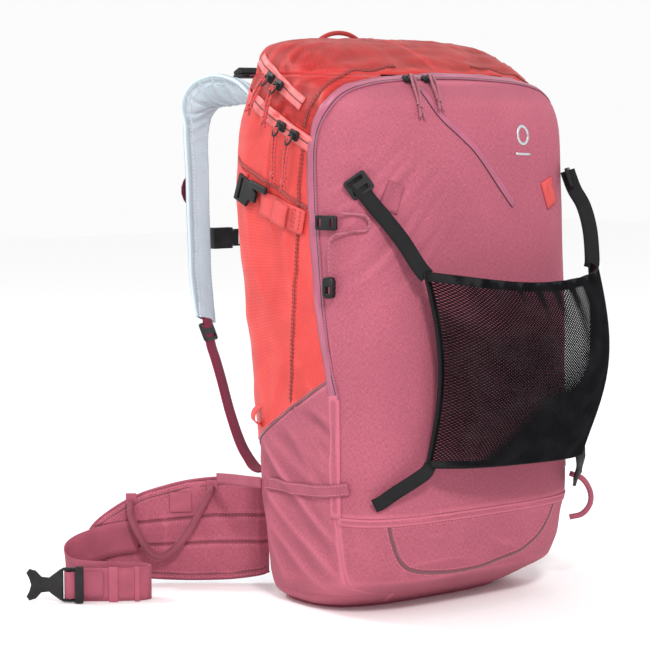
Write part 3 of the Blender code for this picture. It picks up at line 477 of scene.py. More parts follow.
def body(z):
    """Half width, back, front and squareness of the body at a height, on a smooth curve."""
    k = max(i for i in range(len(BODY) - 1) if BODY[i][0] <= z)
    low, high = BODY[k], BODY[k + 1]
    before, after = BODY[max(k - 1, 0)], BODY[min(k + 2, len(BODY) - 1)]
    span = high[0] - low[0]
    u = (z - low[0]) / span
    values = []
    for c in range(1, 5):
        slope_low = (high[c] - before[c]) / (high[0] - before[0]) * span
        slope_high = (after[c] - low[c]) / (after[0] - low[0]) * span
        values.append((2 * u**3 - 3 * u**2 + 1) * low[c] + (u**3 - 2 * u**2 + u) * slope_low
                      + (3 * u**2 - 2 * u**3) * high[c] + (u**3 - u**2) * slope_high)
    return values


HEIGHTS = np.linspace(0.0, BODY[-1][0], 605)
PROFILE = np.array([body(z) for z in HEIGHTS])


def spans(z):
    """Half width, middle, half depth and squareness at each height."""
    half, back, front, square = (np.interp(z, HEIGHTS, PROFILE[:, c]) for c in range(4))
    return half, (back + front) / 2, (back - front) / 2, square


def around(z, angle):
    half, middle, depth, square = spans(z)
    c, s = np.cos(angle), np.sin(angle)
    x = np.copysign(np.abs(c) ** (2 / square), c) * half
    y = middle + np.copysign(np.abs(s) ** (2 / square), s) * depth
    return x, y


def fullness(points):
    """1 on the body surface, more outside it."""
    half, middle, depth, square = spans(points[..., 2])
    return (np.abs(points[..., 0] / half) ** square + np.abs((points[..., 1] - middle) / depth) ** square)


def normals_at(points):
    step = 0.0015
    slopes = []
    for axis in range(3):
        shift = np.zeros(3)
        shift[axis] = step
        slopes.append(fullness(points + shift) - fullness(points - shift))
    normal = np.stack(slopes, axis=-1)
    return normal / np.linalg.norm(normal, axis=-1, keepdims=True)


def seam(z):
    heights, depths = zip(*SEAM)
    return np.interp(z, heights, depths)


def seam_of(height):
    y = seam(0.3)
    for _ in range(8):
        y = seam(height(y))
    return float(y)


def seam_angle(z, y):
    _half, middle, depth, square = spans(z)
    s = min(max((y - middle) / depth, -0.96), 0.0)
    return -math.asin(abs(s) ** (square / 2))


def tub_edge(y):
    return 0.193 - 0.547 * y


def parting(y):
    return 0.503 + (y + 0.0615) * 0.42


def folds(point, size, stretch=(1.0, 1.0, 1.0)):
    return noise.noise(Vector((point[0] * stretch[0], point[1] * stretch[1], point[2] * stretch[2])) / size)


def crease(point, size, stretch):
    """Sharp ridges with soft valleys, about -0.5 to 0.5."""
    return 0.5 - abs(folds(point, size, stretch)) * 2.0


def relief(point):
    """How far the cloth stands off the body surface at a point."""
    x, y, z = point
    if y < seam(z) and z > FLAP_Z:
        edge = min(abs(y - seam(z)) / 0.03, 1.0)
        pull = max(0.0, 1 - math.hypot(x + 0.115, z - 0.415) / 0.11)
        tension = 0.0022 * pull * edge * crease((x + z, z - x, 3.0), 0.034, (0.25, 1.3, 1.0))
        small = 0.0006 * edge * folds(point, 0.03, (1.0, 1.0, 0.6))
        return 0.0016 * edge * folds(point, 0.085) + small + tension
    if z > parting(y):
        crumple = crease((x + 0.6 * y, y - 0.3 * x, z), 0.030, (0.55, 1.5, 1.0))
        return 0.0016 * folds(point, 0.05) + 0.0024 * crumple + 0.0007 * folds(point, 0.011) - 0.0010
    if z < tub_edge(y):
        return boot_relief(x, y, z)
    pucker = 0.0009 * folds(point, 0.016, (1.0, 0.35, 1.0))
    near_seam = math.exp(-abs(y + 0.055) / 0.02)
    return (0.0024 * crease(point, 0.055, (1.0, 1.2, 0.5)) + 0.0011 * folds(point, 0.030, (1.0, 1.0, 0.7))
            + pucker * (0.6 + 0.8 * near_seam) - 0.0005)


def boot_relief(x, y, z):
    """Long drapes of the boot's loose cloth, falling forwards and down."""
    across = 0.8 * z - 0.6 * y
    along = 0.6 * z + 0.8 * y
    slack = min(max((z - 0.008) / 0.04, 0.0), 1.0) * min(max((tub_edge(y) - z) / 0.03, 0.2), 1.0)
    calm = min(abs(y - seam(z)) / 0.022 + 0.20, 1.0 if y > seam(z) else 0.45)
    upper = min(max((z - 0.125) / 0.02, 0.0), 1.0)
    drape = crease((x * 0.7, along * 0.35, across * 1.5), 0.050, (1.0, 1.0, 1.0))
    fan = crease((x * 0.7, along * 0.45, across * 2.2 + 0.4), 0.044, (1.0, 1.0, 1.0))
    small = folds((x, along * 0.5, across), 0.020)
    return slack * calm * (0.0036 * drape + 0.0024 * upper * fan + 0.0011 * small) - 0.0006


def reliefs(points):
    flat = points.reshape(-1, 3)
    values = np.array([relief(p) for p in flat])
    return values.reshape(points.shape[:-1])


def settle(points, out=0.0):
    """Points moved onto the cloth's surface, and its outward directions there."""
    points = np.array(points, float)
    half, middle, depth, square = spans(points[..., 2])
    reach = fullness(points) ** (-1 / square)
    points[..., 0] *= reach
    points[..., 1] = middle + (points[..., 1] - middle) * reach
    normal = normals_at(points)
    return points + normal * (out + reliefs(points))[..., None], normal


# ---- mesh helpers -------------------------------------------------------------------------

def link(name, data):
    obj = bpy.data.objects.new(name, data)
    bpy.context.scene.collection.objects.link(obj)
    return obj


def from_bmesh(name, bm, material):
    mesh = bpy.data.meshes.new(name)
    bm.to_mesh(mesh)
    bm.free()
    mesh.shade_smooth()
    mesh.materials.append(MATERIALS[material])
    return link(name, mesh)


def mesh_piece(name, points, faces, material, uvs=None, smooth=True):
    mesh = bpy.data.meshes.new(name)
    mesh.from_pydata([tuple(map(float, p)) for p in points], [], faces)
    if uvs is not None:
        layer = mesh.uv_layers.new(name="cloth")
        for loop in mesh.loops:
            layer.data[loop.index].uv = uvs[loop.vertex_index]
    if smooth:
        mesh.shade_smooth()
    mesh.materials.append(MATERIALS[material])
    return link(name, mesh)


def grid_faces(rows, columns, wrap=False):
    faces = []
    last = columns if wrap else columns - 1
    for k in range(rows - 1):
        for i in range(last):
            j = (i + 1) % columns
            faces.append((k * columns + i, k * columns + j, (k + 1) * columns + j, (k + 1) * columns + i))
    return faces


def lengths(points, axis):
    """Running length along an axis of a grid of points, evened out so the threads run parallel."""
    steps = np.linalg.norm(np.diff(points, axis=axis), axis=-1)
    steps = np.broadcast_to(steps.mean(axis=1 - axis, keepdims=True), steps.shape)
    zero = np.zeros_like(np.take(steps, [0], axis=axis))
    return np.concatenate([zero, np.cumsum(steps, axis=axis)], axis=axis)


def grid_piece(name, grid, material, thickness=0.0, offset=-1.0):
    """A sheet from a grid of points, its UV map in metres along its own rows and columns."""
    grid = np.array(grid, float)
    rows, columns = grid.shape[:2]
    across = lengths(grid, 1)
    across -= across[:, columns // 2][:, None]
    along = lengths(grid, 0)
    uvs = np.stack([across, along], axis=-1).reshape(-1, 2)
    obj = mesh_piece(name, grid.reshape(-1, 3), grid_faces(rows, columns), material, uvs)
    if thickness:
        solid = obj.modifiers.new("cloth", "SOLIDIFY")
        solid.thickness = thickness
        solid.offset = offset
    return obj


def run_along(path):
    """The length run at each point of a path."""
    return np.concatenate([[0], np.cumsum(np.linalg.norm(np.diff(path, axis=0), axis=1))])


def path_length(path):
    return float(run_along(np.array(path, float))[-1])


def even_steps(dense, count):
    """Points at equal steps along a finely drawn path."""
    run = run_along(dense)
    stops = np.linspace(0, run[-1], count)
    return np.stack([np.interp(stops, run, column) for column in dense.T], axis=1)


def smooth_path(points, count):
    """A Catmull-Rom curve through points, with equal steps."""
    points = np.array(points, float)
    ends = np.vstack([2 * points[0] - points[1], points, 2 * points[-1] - points[-2]])
    dense = []
    for a, b, c, d in zip(ends, ends[1:], ends[2:], ends[3:]):
        for t in np.linspace(0, 1, 24, endpoint=False):
            dense.append(0.5 * (2 * b + (c - a) * t + (2 * a - 5 * b + 4 * c - d) * t**2
                                + (3 * b - a - 3 * c + d) * t**3))
    dense = np.array(dense + [points[-1]])
    return even_steps(dense, count)


def directions(path):
    along = np.gradient(path, axis=0)
    return along / np.linalg.norm(along, axis=1, keepdims=True)


def settled_line(path, step, fewest, out):
    """A smooth path laid on the body surface, and the outward directions along it."""
    count = max(int(path_length(path) / step), fewest)
    return settle(smooth_path(path, count), out)


def tape(name, path, width, material, out=0.0009, thick=0.0008, columns=7, crown=0.0):
    """A strip of cloth lying on the body surface along a path."""
    line, normal = settled_line(path, 0.004, 8, 0.0)
    across = np.cross(directions(line), normal)
    rows = []
    for share in np.linspace(-0.5, 0.5, columns):
        lifted = out + crown * (1 - (2 * share) ** 2)
        rows.append(settle(line + across * width * share, lifted)[0])
    return grid_piece(name, np.stack(rows, axis=1), material, thick)


def stitches(name, path, normal, material, length=0.0028, gap=0.0016, radius=0.00035):
    """A row of thread stitches along a path, sunk halfway into the cloth."""
    bm = bmesh.new()
    run = run_along(path)
    place = length / 2
    while place < run[-1] - length / 2:
        centre = Vector([np.interp(place, run, path[:, c]) for c in range(3)])
        ahead = Vector([np.interp(place + 0.001, run, path[:, c]) for c in range(3)])
        up = Vector([np.interp(place, run, normal[:, c]) for c in range(3)])
        add_stitch(bm, centre, (ahead - centre).normalized(), up.normalized(), length, radius)
        place += length + gap
    return from_bmesh(name, bm, material)


def add_stitch(bm, centre, along, up, length, radius):
    side = along.cross(up).normalized()
    rings = []
    for share, size in ((-0.5, 0.45), (-0.25, 1.0), (0.25, 1.0), (0.5, 0.45)):
        ring = []
        for k in range(5):
            angle = 2 * math.pi * k / 5
            offset = side * math.cos(angle) * 1.3 + up * math.sin(angle)
            ring.append(bm.verts.new(centre + along * length * share + offset * radius * size))
        rings.append(ring)
    for low, high in zip(rings, rings[1:]):
        for k in range(5):
            bm.faces.new((low[k], low[(k + 1) % 5], high[(k + 1) % 5], high[k]))
    bm.faces.new(list(reversed(rings[0])))
    bm.faces.new(rings[-1])


def body_stitches(name, path, material, out=0.0004, **sizes):
    line, normal = settled_line(path, 0.003, 6, out)
    return stitches(name, line, normal, material, **sizes)


def tube(name, path, radius, material, sides=8):
    """A round cord as a closed mesh along a path; radius is one number, or one for each point."""
    path = np.array(path, float)
    radii = np.broadcast_to(radius, len(path))
    along = directions(path)
    side = np.cross(along, (0.31, 0.17, 0.93))
    side /= np.linalg.norm(side, axis=1, keepdims=True)
    other = np.cross(along, side)
    angles = [2 * math.pi * i / sides for i in range(sides)]
    rings = [path[k] + radii[k] * (side[k] * math.cos(a) + other[k] * math.sin(a))
             for k in range(len(path)) for a in angles]
    faces = grid_faces(len(path), sides, wrap=True)
    faces.append(tuple(range(sides))[::-1])
    faces.append(tuple((len(path) - 1) * sides + i for i in range(sides)))
    run = run_along(path)
    uvs = [(radii[k] * a, run[k]) for k in range(len(path)) for a in angles]
    return mesh_piece(name, rings, faces, material, uvs)


def strip(name, path, width, across, material, thick=0.0014, columns=5, crown=0.0):
    """Free webbing along a path; across gives its width direction at each point or once."""
    path = np.array(path, float)
    along = directions(path)
    wide = np.broadcast_to(np.array(across, float), path.shape).copy()
    wide -= along * (wide * along).sum(axis=1, keepdims=True)
    wide /= np.linalg.norm(wide, axis=1, keepdims=True)
    face = np.cross(along, wide)
    rows = []
    for share in np.linspace(-0.5, 0.5, columns):
        rows.append(path + wide * width * share + face * crown * (1 - (2 * share) ** 2))
    return grid_piece(name, np.stack(rows, axis=1), material, thick, offset=0.0)


def mirror_x(points, side):
    """Points drawn for the left side, turned over for the right one."""
    flipped = np.array(points, float)
    flipped[..., 0] *= -side
    return flipped


def place(piece, body_name, slot_name, *nodes):
    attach(piece, body_name)
    if nodes:
        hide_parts(*nodes)
    return piece


# ---- bag, tub, lid and front panel --------------------------------------------------------

def arc_row(height, start, stop, count):
    """A row round the body between two angles, with equal steps."""
    angle = np.linspace(start, stop, 1500)
    z = np.full_like(angle, float(height(0.0)))
    for _ in range(10):
        x, y = around(z, angle)
        z = height(y) + 0 * y
    return even_steps(np.stack([x, y, z], axis=1), count)


def level(z):
    return lambda y: z + 0 * y


def back_rows(low, high, rows, columns):
    """Rows from the right seam round the back to the left one, between two heights."""
    grid = []
    for share in np.linspace(0, 1, rows):
        def height(y):
            return low(y) + (high(y) - low(y)) * share
        edge = seam_of(height)
        start = seam_angle(height(edge), edge)
        grid.append(arc_row(height, start, math.pi - start, columns))
    return np.array(grid)


def front_rows(low, high, rows, columns, back=0.0):
    """Rows from the left seam round the front to the right one."""
    grid = []
    for z in np.linspace(low, high, rows):
        edge = float(seam(z)) - back
        start = seam_angle(z, edge)
        grid.append(arc_row(level(z), math.pi - start, 2 * math.pi + start, columns))
    return np.array(grid)


def make_bag():
    walls = back_rows(lambda y: tub_edge(y) - 0.010, parting, 96, 190)
    piece = grid_piece("bag_sides", settle(walls)[0], "red", CLOTH)
    place(piece, "pack", "red_ripstop", "main_bag")
    edge = []
    for z in np.linspace(SHELF_Z, 0.4945, 40):
        y = float(seam(z)) + 0.0035
        half = float(side_at(y, z)) - 0.0015
        edge.append([(x, y + 0.0010 * folds((x, z, 0.0), 0.06), z) for x in np.linspace(half, -half, 46)])
    place(grid_piece("bag_front_wall", edge, "lining", CLOTH), "pack", "lining")
    floor = []
    for share in np.linspace(0.02, 1.0, 16):
        row = arc_row(level(0.006), 0.0, 2 * math.pi, 61)
        row[:, :2] *= share * 0.94
        row[:, 2] = 0.0045 + 0.0004 * share
        floor.append(row)
    place(grid_piece("bag_floor", floor, "lining", 0.0008), "pack", "lining")
    shelf = []
    for z_share in np.linspace(0.0, 1.0, 12):
        row = []
        for x in np.linspace(-1, 1, 40):
            back = float(seam(SHELF_Z)) + 0.004
            half = float(side_at(back, SHELF_Z)) - 0.003
            front = front_at(x * half, SHELF_Z) + 0.003
            row.append((x * half, back + (front - back) * z_share, SHELF_Z + 0.0015))
        shelf.append(row)
    place(grid_piece("front_compartment_floor", shelf, "lining", 0.0008), "pack", "lining")


def side_at(y, z):
    half, middle, depth, square = spans(z)
    return half * np.maximum(1 - np.abs((y - middle) / depth) ** square, 0.0) ** (1 / square)


def back_at(x, z, sign=1):
    """The body surface's y at a width and a height."""
    half, middle, depth, square = spans(z)
    return float(middle + sign * depth * np.maximum(1 - abs(x / half) ** square, 0.0) ** (1 / square))


def front_at(x, z):
    return back_at(x, z, -1)


def make_tub():
    back = back_rows(level(0.0008), tub_edge, 70, 190)
    back = settle(back, 0.0002)[0]
    place(grid_piece("tub_back", back, "mauve", CLOTH), "pack", "mauve_canvas", "bottom_tub")
    front = front_rows(0.0008, SHELF_Z + 0.0008, 44, 110)
    front = settle(front, 0.0002)[0]
    place(grid_piece("tub_front", front, "mauve", CLOTH), "pack", "mauve_canvas")
    ring = arc_row(level(0.0010), 0.0, 2 * math.pi, 150)
    rows = []
    centre = ring.mean(axis=0)
    for share in np.linspace(1.0, 0.02, 14):
        row = centre + (ring - centre) * share
        row[:, 2] = 0.0005
        rows.append(row)
    place(grid_piece("tub_base", rows, "mauve", 0.0010), "pack", "mauve_canvas")


def make_front_panel():
    grid = settle(front_rows(FLAP_Z, FLAP_TOP_Z, 110, 150, 0.0022))[0]
    piece = grid_piece("front_panel", grid, "mauve", CLOTH)
    place(piece, "front_panel", "mauve_canvas", "front_flap")


def make_lid():
    rim = back_rows(lambda y: parting(y) + 0.0012, level(CROWN_Z), 22, 190)
    rim = settle(rim)[0]
    place(grid_piece("lid_sides", rim, "lid_red", CLOTH), "lid", "red_ripstop", "lid")
    crown = []
    for z in CROWN_HEIGHTS:
        crown.append(settle(arc_row(level(z), -math.pi / 2, 1.5 * math.pi, 240))[0])
    top = arc_row(level(CROWN_HEIGHTS[-1]), -math.pi / 2, 1.5 * math.pi, 240)
    centre = top.mean(axis=0)
    for share in (0.86, 0.70, 0.52, 0.34, 0.16, 0.02):
        ring = centre + (top - centre) * share
        ring[:, 2] += 0.0012 * (1 - share * share) + reliefs(ring)
        crown.append(ring)
    place(grid_piece("lid_crown", crown, "lid_red", CLOTH), "lid", "red_ripstop")
    wall = []
    for z in np.linspace(0.4975, CROWN_Z - 0.001, 14):
        y = float(seam(z)) + 0.0032
        half = float(side_at(y, z)) - 0.0015
        wall.append([(x, y, z) for x in np.linspace(half, -half, 40)])
    place(grid_piece("lid_front_wall", wall, "lining", 0.0010), "lid", "lining")


# ---- seams, tapes and zips on the bag -----------------------------------------------------

FRONT_ZIP_HALF = (
    (-0.158, -0.110, 0.231), (-0.161, -0.097, 0.282), (-0.162, -0.091, 0.333), (-0.163, -0.086, 0.384),
    (-0.163, -0.081, 0.435), (-0.162, -0.079, 0.486), (-0.160, -0.084, 0.511), (-0.152, -0.095, 0.534),
    (-0.137, -0.100, 0.547), (-0.106, -0.102, 0.555), (-0.071, -0.101, 0.5585), (-0.021, -0.099, 0.561),
)
FRONT_ZIP = FRONT_ZIP_HALF + tuple((-x, y, z) for x, y, z in FRONT_ZIP_HALF[::-1])
MAIN_ZIP = ((0.040, 0.5410), (0.004, 0.5250), (-0.038, 0.5072), (-0.0615, 0.4975), (-0.079, 0.4905))
LID_ZIP = ((0.040, 0.5825), (0.0225, 0.574), (0.003, 0.564), (-0.018, 0.553), (-0.0345, 0.545),
           (-0.060, 0.5330))
TUB_EDGE = ((0.045, 0.1684), (0.012, 0.186), (-0.038, 0.214), (-0.0735, 0.233), (-0.106, 0.251))
LID_CORNER_SEAM = ((-0.162, -0.064, 0.508), (-0.158, -0.071, 0.531), (-0.147, -0.079, 0.550),
                   (-0.125, -0.083, 0.563), (-0.098, -0.080, 0.569), (-0.050, -0.076, 0.572))
SIDE_SEAM = ((-0.066, 0.486), (-0.062, 0.445), (-0.056, 0.383), (-0.051, 0.330), (-0.043, 0.246),
             (-0.041, 0.222))
WEDGE_SEAM = ((0.070, 0.476), (0.052, 0.469), (-0.0015, 0.452), (-0.045, 0.436), (-0.076, 0.426))
POCKET_HEM = ((0.010, 0.130), (-0.053, 0.1315), (-0.102, 0.1355), (-0.1355, 0.141))
POCKET_HEM_END = ((-0.1625, 0.012, 0.130), (-0.1650, 0.030, 0.129), (-0.1640, 0.060, 0.127),
                  (-0.1630, 0.092, 0.124))
LOWER_SEAM = ((-0.143, 0.109), (-0.1345, 0.083), (-0.111, 0.054), (-0.046, 0.043), (0.037, 0.047),
              (0.102, 0.066), (0.1245, 0.102))
POCKET_ZIP = ((-0.080, 0.547), (-0.059, 0.521), (-0.020, 0.497), (0.004, 0.480), (0.063, 0.426))


def on_side(points, side):
    """Side outline points (y, z) as places beside the body."""
    return [(side * OUTSIDE, y, z) for y, z in points]


def on_front(points):
    return [(x, -OUTSIDE, z) for x, z in points]


def round_back(reach, start, count, height):
    """Places round the back of the pack, from one side to the other."""
    angles = np.linspace(start, math.pi - start, count)
    spots = [(reach * math.cos(a), 0.02 + 0.1 * math.sin(a)) for a in angles]
    return [(x, y, float(height(x))) for x, y in spots]


def make_zips():
    place(tape("front_zip_tape", FRONT_ZIP, 0.013, "mauve_tape", 0.0012), "front_panel", "mauve_canvas")
    for side, word in SIDES:
        main = on_side(MAIN_ZIP, side)
        place(tape(f"main_zip_tape_{word}", main, 0.016, "coral_tape", 0.0012), "pack", "coral_webbing")
        upper = on_side(LID_ZIP, side)
        place(tape(f"lid_zip_tape_{word}", upper, 0.015, "coral_tape", 0.0012), "lid", "coral_webbing")
    pocket = on_front(POCKET_ZIP)
    place(tape("pocket_zip_tape", pocket, 0.0070, "mauve_tape", 0.0009), "front_panel", "mauve_canvas")
    line = round_back(0.155, 0.45, 14, lambda x: parting(back_at(x, 0.55)))
    place(tape("main_zip_tape_back", line, 0.014, "coral_tape", 0.0010), "pack", "coral_webbing")


def seam_ridge(name, path, colour, stitch_colour, body_name, slot_name, width=0.0030):
    """A lapped seam: a narrow folded edge with a row of stitches each side."""
    ridge_piece = tape(name, path, width, colour, 0.0006, 0.0007, columns=5, crown=0.0005)
    place(ridge_piece, body_name, slot_name)
    line, normal = settled_line(path, 0.003, 6, 0.0005)
    across = np.cross(directions(line), normal)
    for share, word in ((-1, "a"), (1, "b")):
        offset, out = settle(line + across * share * (width / 2 + 0.0016), 0.0003)
        place(stitches(f"{name}_stitch_{word}", offset, out, stitch_colour), body_name, slot_name)


def make_side_seams():
    for side, word in SIDES:
        for name, path, body_name, width in (
                ("lid_corner_seam", mirror_x(LID_CORNER_SEAM, side), "lid", 0.0016),
                ("side_seam", on_side(SIDE_SEAM, side), "pack", 0.0016),
                ("wedge_seam", on_side(WEDGE_SEAM, side), "pack", 0.0018)):
            seam_ridge(f"{name}_{word}", path, "seam", "red_thread", body_name, "red_ripstop", width)
        seam_ridge(f"tub_seam_{word}", on_side(TUB_EDGE, side), "mauve_seam", "mauve_thread", "pack",
                   "mauve_canvas")
        hem = on_side(POCKET_HEM, side)
        sewn = tape(f"pocket_hem_{word}", hem, 0.0125, "mauve_webbing", 0.0030, 0.0014)
        place(sewn, "pack", "mauve_canvas")
        end = smooth_path(mirror_x(POCKET_HEM_END, side), 24)
        loose = strip(f"pocket_hem_end_{word}", end, 0.0120, (0, 0, 1), "mauve_webbing", 0.0014)
        place(loose, "pack", "mauve_canvas")
        for offset in (-0.0045, 0.0045):
            row = [(x, y, z + offset) for x, y, z in hem]
            tag = "low" if offset < 0 else "high"
            place(body_stitches(f"pocket_hem_stitch_{word}_{tag}", row, "mauve_thread", 0.0033), "pack",
                  "mauve_canvas")
        lap = [(side * OUTSIDE, float(seam(z)) - 0.0040, z) for z in np.linspace(0.236, FLAP_Z + 0.001, 14)]
        cover = tape(f"panel_side_lap_{word}", lap, 0.0145, "mauve", 0.0010, 0.0008, crown=0.0004)
        place(cover, "front_panel", "mauve_canvas")
    row = round_back(0.13, 0.25, 16, lambda x: tub_edge(back_at(x, 0.16)))
    seam_ridge("tub_seam_back", row, "mauve_seam", "mauve_thread", "pack", "mauve_canvas")


def make_front_details():
    lower = on_front(LOWER_SEAM)
    seam_ridge("lower_pocket_seam", lower, "mauve_seam", "mauve_thread", "pack", "mauve_canvas", 0.0036)
    edge = [(x, -OUTSIDE, FLAP_Z + 0.0045) for x in np.linspace(-0.150, 0.150, 12)]
    place(body_stitches("panel_hem_stitches", edge, "mauve_thread"), "front_panel", "mauve_canvas")
    turn = [(0.166, -0.1145), (0.163, -0.135), (0.157, -0.150), (0.146, -0.165)]
    plan = [(-x, y) for x, y in turn] + [(x, -OUTSIDE) for x in np.linspace(-0.125, 0.125, 14)] + turn[::-1]
    lap = [(x, y, (SHELF_Z + FLAP_Z) / 2) for x, y in plan]
    cover = tape("panel_hinge_lap", lap, 0.0085, "mauve", 0.0010, 0.0008, crown=0.0003)
    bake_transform(cover)
    hem = [(x, -OUTSIDE, SHELF_Z - 0.0040) for x in np.linspace(-0.150, 0.150, 12)]
    place(body_stitches("tub_hem_stitches", hem, "mauve_thread"), "pack", "mauve_canvas")
    for side, word in SIDES:
        tab = [(side * 0.128, -OUTSIDE, 0.452), (side * 0.139, -0.165, 0.424)]
        colour = "coral" if side == RIGHT else "mauve_webbing"
        place(tape(f"net_anchor_tab_{word}", tab, 0.020, colour, 0.0016, 0.0014), "front_panel",
              "mauve_canvas")
        row = [(side * (0.130 + 0.002 * k), -OUTSIDE, 0.447 - 0.005 * k) for k in range(3)]
        place(body_stitches(f"net_anchor_stitch_{word}", row, "mauve_thread", 0.0034), "front_panel",
              "mauve_canvas")
    make_mark()


def make_mark():
    """A plain ring with a bar below it, where the pack carries its small printed sign."""
    ring = []
    for k in range(33):
        angle = 2 * math.pi * k / 32
        ring.append((0.079 + 0.0095 * math.cos(angle), -OUTSIDE, 0.500 + 0.0095 * math.sin(angle)))
    place(tape("mark_ring", ring, 0.0032, "mark", 0.0005, 0.0003, 3), "front_panel", "mauve_canvas")
    bar = [(0.066, -OUTSIDE, 0.4805), (0.079, -OUTSIDE, 0.480), (0.092, -OUTSIDE, 0.4795)]
    place(tape("mark_bar", bar, 0.0026, "mark", 0.0005, 0.0003, 3), "front_panel", "mauve_canvas")


def compression_z(y):
    """The height of the compression strap's middle line, which slants down to the front."""
    return 0.4290 - (0.002 - y) * 0.257


def make_compression():
    web = [(-OUTSIDE, y, compression_z(y)) for y in np.linspace(0.006, -0.070, 8)]
    piece = tape("compression_strap", web, 0.026, "coral", 0.0030, 0.0014)
    place(piece, "pack", "coral_webbing", "compression_webbing")
    tail = [(-OUTSIDE, y, compression_z(y) - 0.001) for y in np.linspace(-0.020, -0.046, 6)]
    tail = tape("compression_tail", tail, 0.025, "coral", 0.0062, 0.0014, crown=0.0012)
    place(tail, "pack", "coral_webbing")
    for k, y in enumerate((-0.052, -0.0555, -0.064)):
        z = compression_z(y)
        row = [(-OUTSIDE, y - 0.003, z + 0.0110), (-OUTSIDE, y, z), (-OUTSIDE, y + 0.003, z - 0.0110)]
        place(body_stitches(f"compression_bar_tack_{k}", row, "seam", 0.0036), "pack", "coral_webbing")
    loop = [(-OUTSIDE, 0.060, 0.4565), (-OUTSIDE, 0.052, 0.4520), (-OUTSIDE, 0.040, 0.4475)]
    place(tape("hook_anchor", loop, 0.024, "coral", 0.0016, 0.0014), "pack", "coral_webbing")


# ---- small hardware -----------------------------------------------------------------------

def rounded_block(name, size, centre, x_dir, y_dir, material, bevel):
    bm = bmesh.new()
    bmesh.ops.create_cube(bm, size=1.0)
    bmesh.ops.scale(bm, verts=bm.verts, vec=size)
    bmesh.ops.bevel(bm, geom=bm.edges[:], offset=bevel, segments=3, profile=0.6, affect="EDGES")
    x_dir = Vector(x_dir).normalized()
    y_dir = Vector(y_dir)
    y_dir = (y_dir - x_dir * y_dir.dot(x_dir)).normalized()
    turn = Matrix((x_dir, y_dir, x_dir.cross(y_dir))).transposed().to_4x4()
    bm.transform(Matrix.Translation(Vector(centre)) @ turn)
    return from_bmesh(name, bm, material)


def joined(name, pieces):
    """Several pieces made one."""
    with bpy.context.temp_override(active_object=pieces[0], selected_editable_objects=pieces,
                                   selected_objects=pieces):
        bpy.ops.object.join()
    pieces[0].name = name
    return pieces[0]


def node_centre(name):
    low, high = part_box(name)
    return (low + high) / 2


PULLS = (("lid", "back"), ("lid", "front"), ("main", "back"), ("main", "front"), ("front", "left"),
         ("front", "right"))


def make_sliders():
    """Each zip slider: two plates round the coil, a bridge, and a bent wire for its cord."""
    for zip_name, end in PULLS:
        name = f"{zip_name}_zip_slider_{end}"
        run = Vector(JOINTS[f"{zip_name}_slider_{end}_run"]["axis"])
        centre = node_centre(name)
        _spot, normal = settle([tuple(centre)])
        out = Vector(normal[0])
        out = (out - run * out.dot(run)).normalized()
        side = run.cross(out)
        top = Vector(JOINTS[f"{zip_name}_pull_cord_{end}_swing"]["pos_m"])
        base = rounded_block(f"{name}_shell", (0.0135, 0.0092, 0.0030), centre - out * 0.0012, run, side,
                             "dark_plastic", 0.0009)
        cheeks = rounded_block(f"{name}_nose", (0.0058, 0.0106, 0.0036), centre - out * 0.0012 - run * 0.0030,
                               run, side, "dark_plastic", 0.0012)
        bridge = [centre + run * (0.0042 * math.cos(a)) + out * (0.0002 + 0.0034 * math.sin(a))
                  for a in np.linspace(0.1, math.pi - 0.1, 12)]
        bridge = tube(f"{name}_bridge", [tuple(p) for p in bridge], 0.0008, "dark_plastic")
        down = (top - centre - out * 0.0018 + Vector((0, 0, -0.0045))).normalized()
        wide = down.cross(out).normalized()
        start = centre + out * 0.0030
        wire = []
        for a in np.linspace(0.0, 2 * math.pi, 25):
            wire.append(start + wide * 0.0042 * math.sin(a) + down * (0.0054 - 0.0064 * math.cos(a)))
        wire = tube(f"{name}_wire", [tuple(p) for p in wire], 0.0010, "dark_plastic", 6)
        place(joined(f"{name}_detail", [base, cheeks, bridge, wire]), name, "black_plastic", name)


def make_pull_cords():
    """A doubled cord from each slider's wire, tied in a knot whose ends stay loose."""
    for zip_name, end in PULLS:
        name = f"{zip_name}_pull_cord_{end}"
        joint = JOINTS[f"{name}_swing"]
        top = Vector(joint["pos_m"])
        fall = (node_centre(name) - top) * 2 * 0.93
        out = Vector(joint["axis"]).cross(fall).normalized()
        if out.dot(Vector(settle([tuple(top + fall / 2)])[1][0])) < 0:
            out = -out
        side = fall.cross(out).normalized()
        colour, tied = ("mauve_cord", 0.70) if zip_name == "front" else ("coral_cord", 0.80)
        knot = make_knot(f"{name}_knot", top + fall * (tied + 0.02) + out * 0.0006, fall.normalized(), out,
                         colour)
        tails = []
        for sign in (-1, 1):
            tail = [tuple(top + fall * (tied + 0.05 + (0.95 - tied) * u)
                          + side * sign * (0.0012 + 0.0024 * u ** 1.5) + out * 0.0008 * sign * u)
                    for u in (0, 0.3, 0.6, 0.9, 1)]
            radii = [CORD, CORD, CORD, CORD * 1.1, CORD * 0.7]
            tails.append(tube(f"{name}_tail_{sign}", tail, radii, colour))
        knot = joined(f"{name}_knot", [knot] + tails)
        place(knot, name, colour)
        for word, sign in (("a", -1), ("b", 1)):
            path = []
            for u in np.linspace(0, 1, 22):
                apart = CORD * 1.02 + 0.0010 * math.sin(math.pi * min(u * 1.2, 1.0))
                bow = out * 0.0014 * math.sin(math.pi * u)
                path.append(tuple(top + fall * (tied * u) + side * sign * apart + bow))
            strand = tube(f"{name}_{word}", path, CORD, colour)
            place(strand, name, colour, *([name] if word == "a" else []))


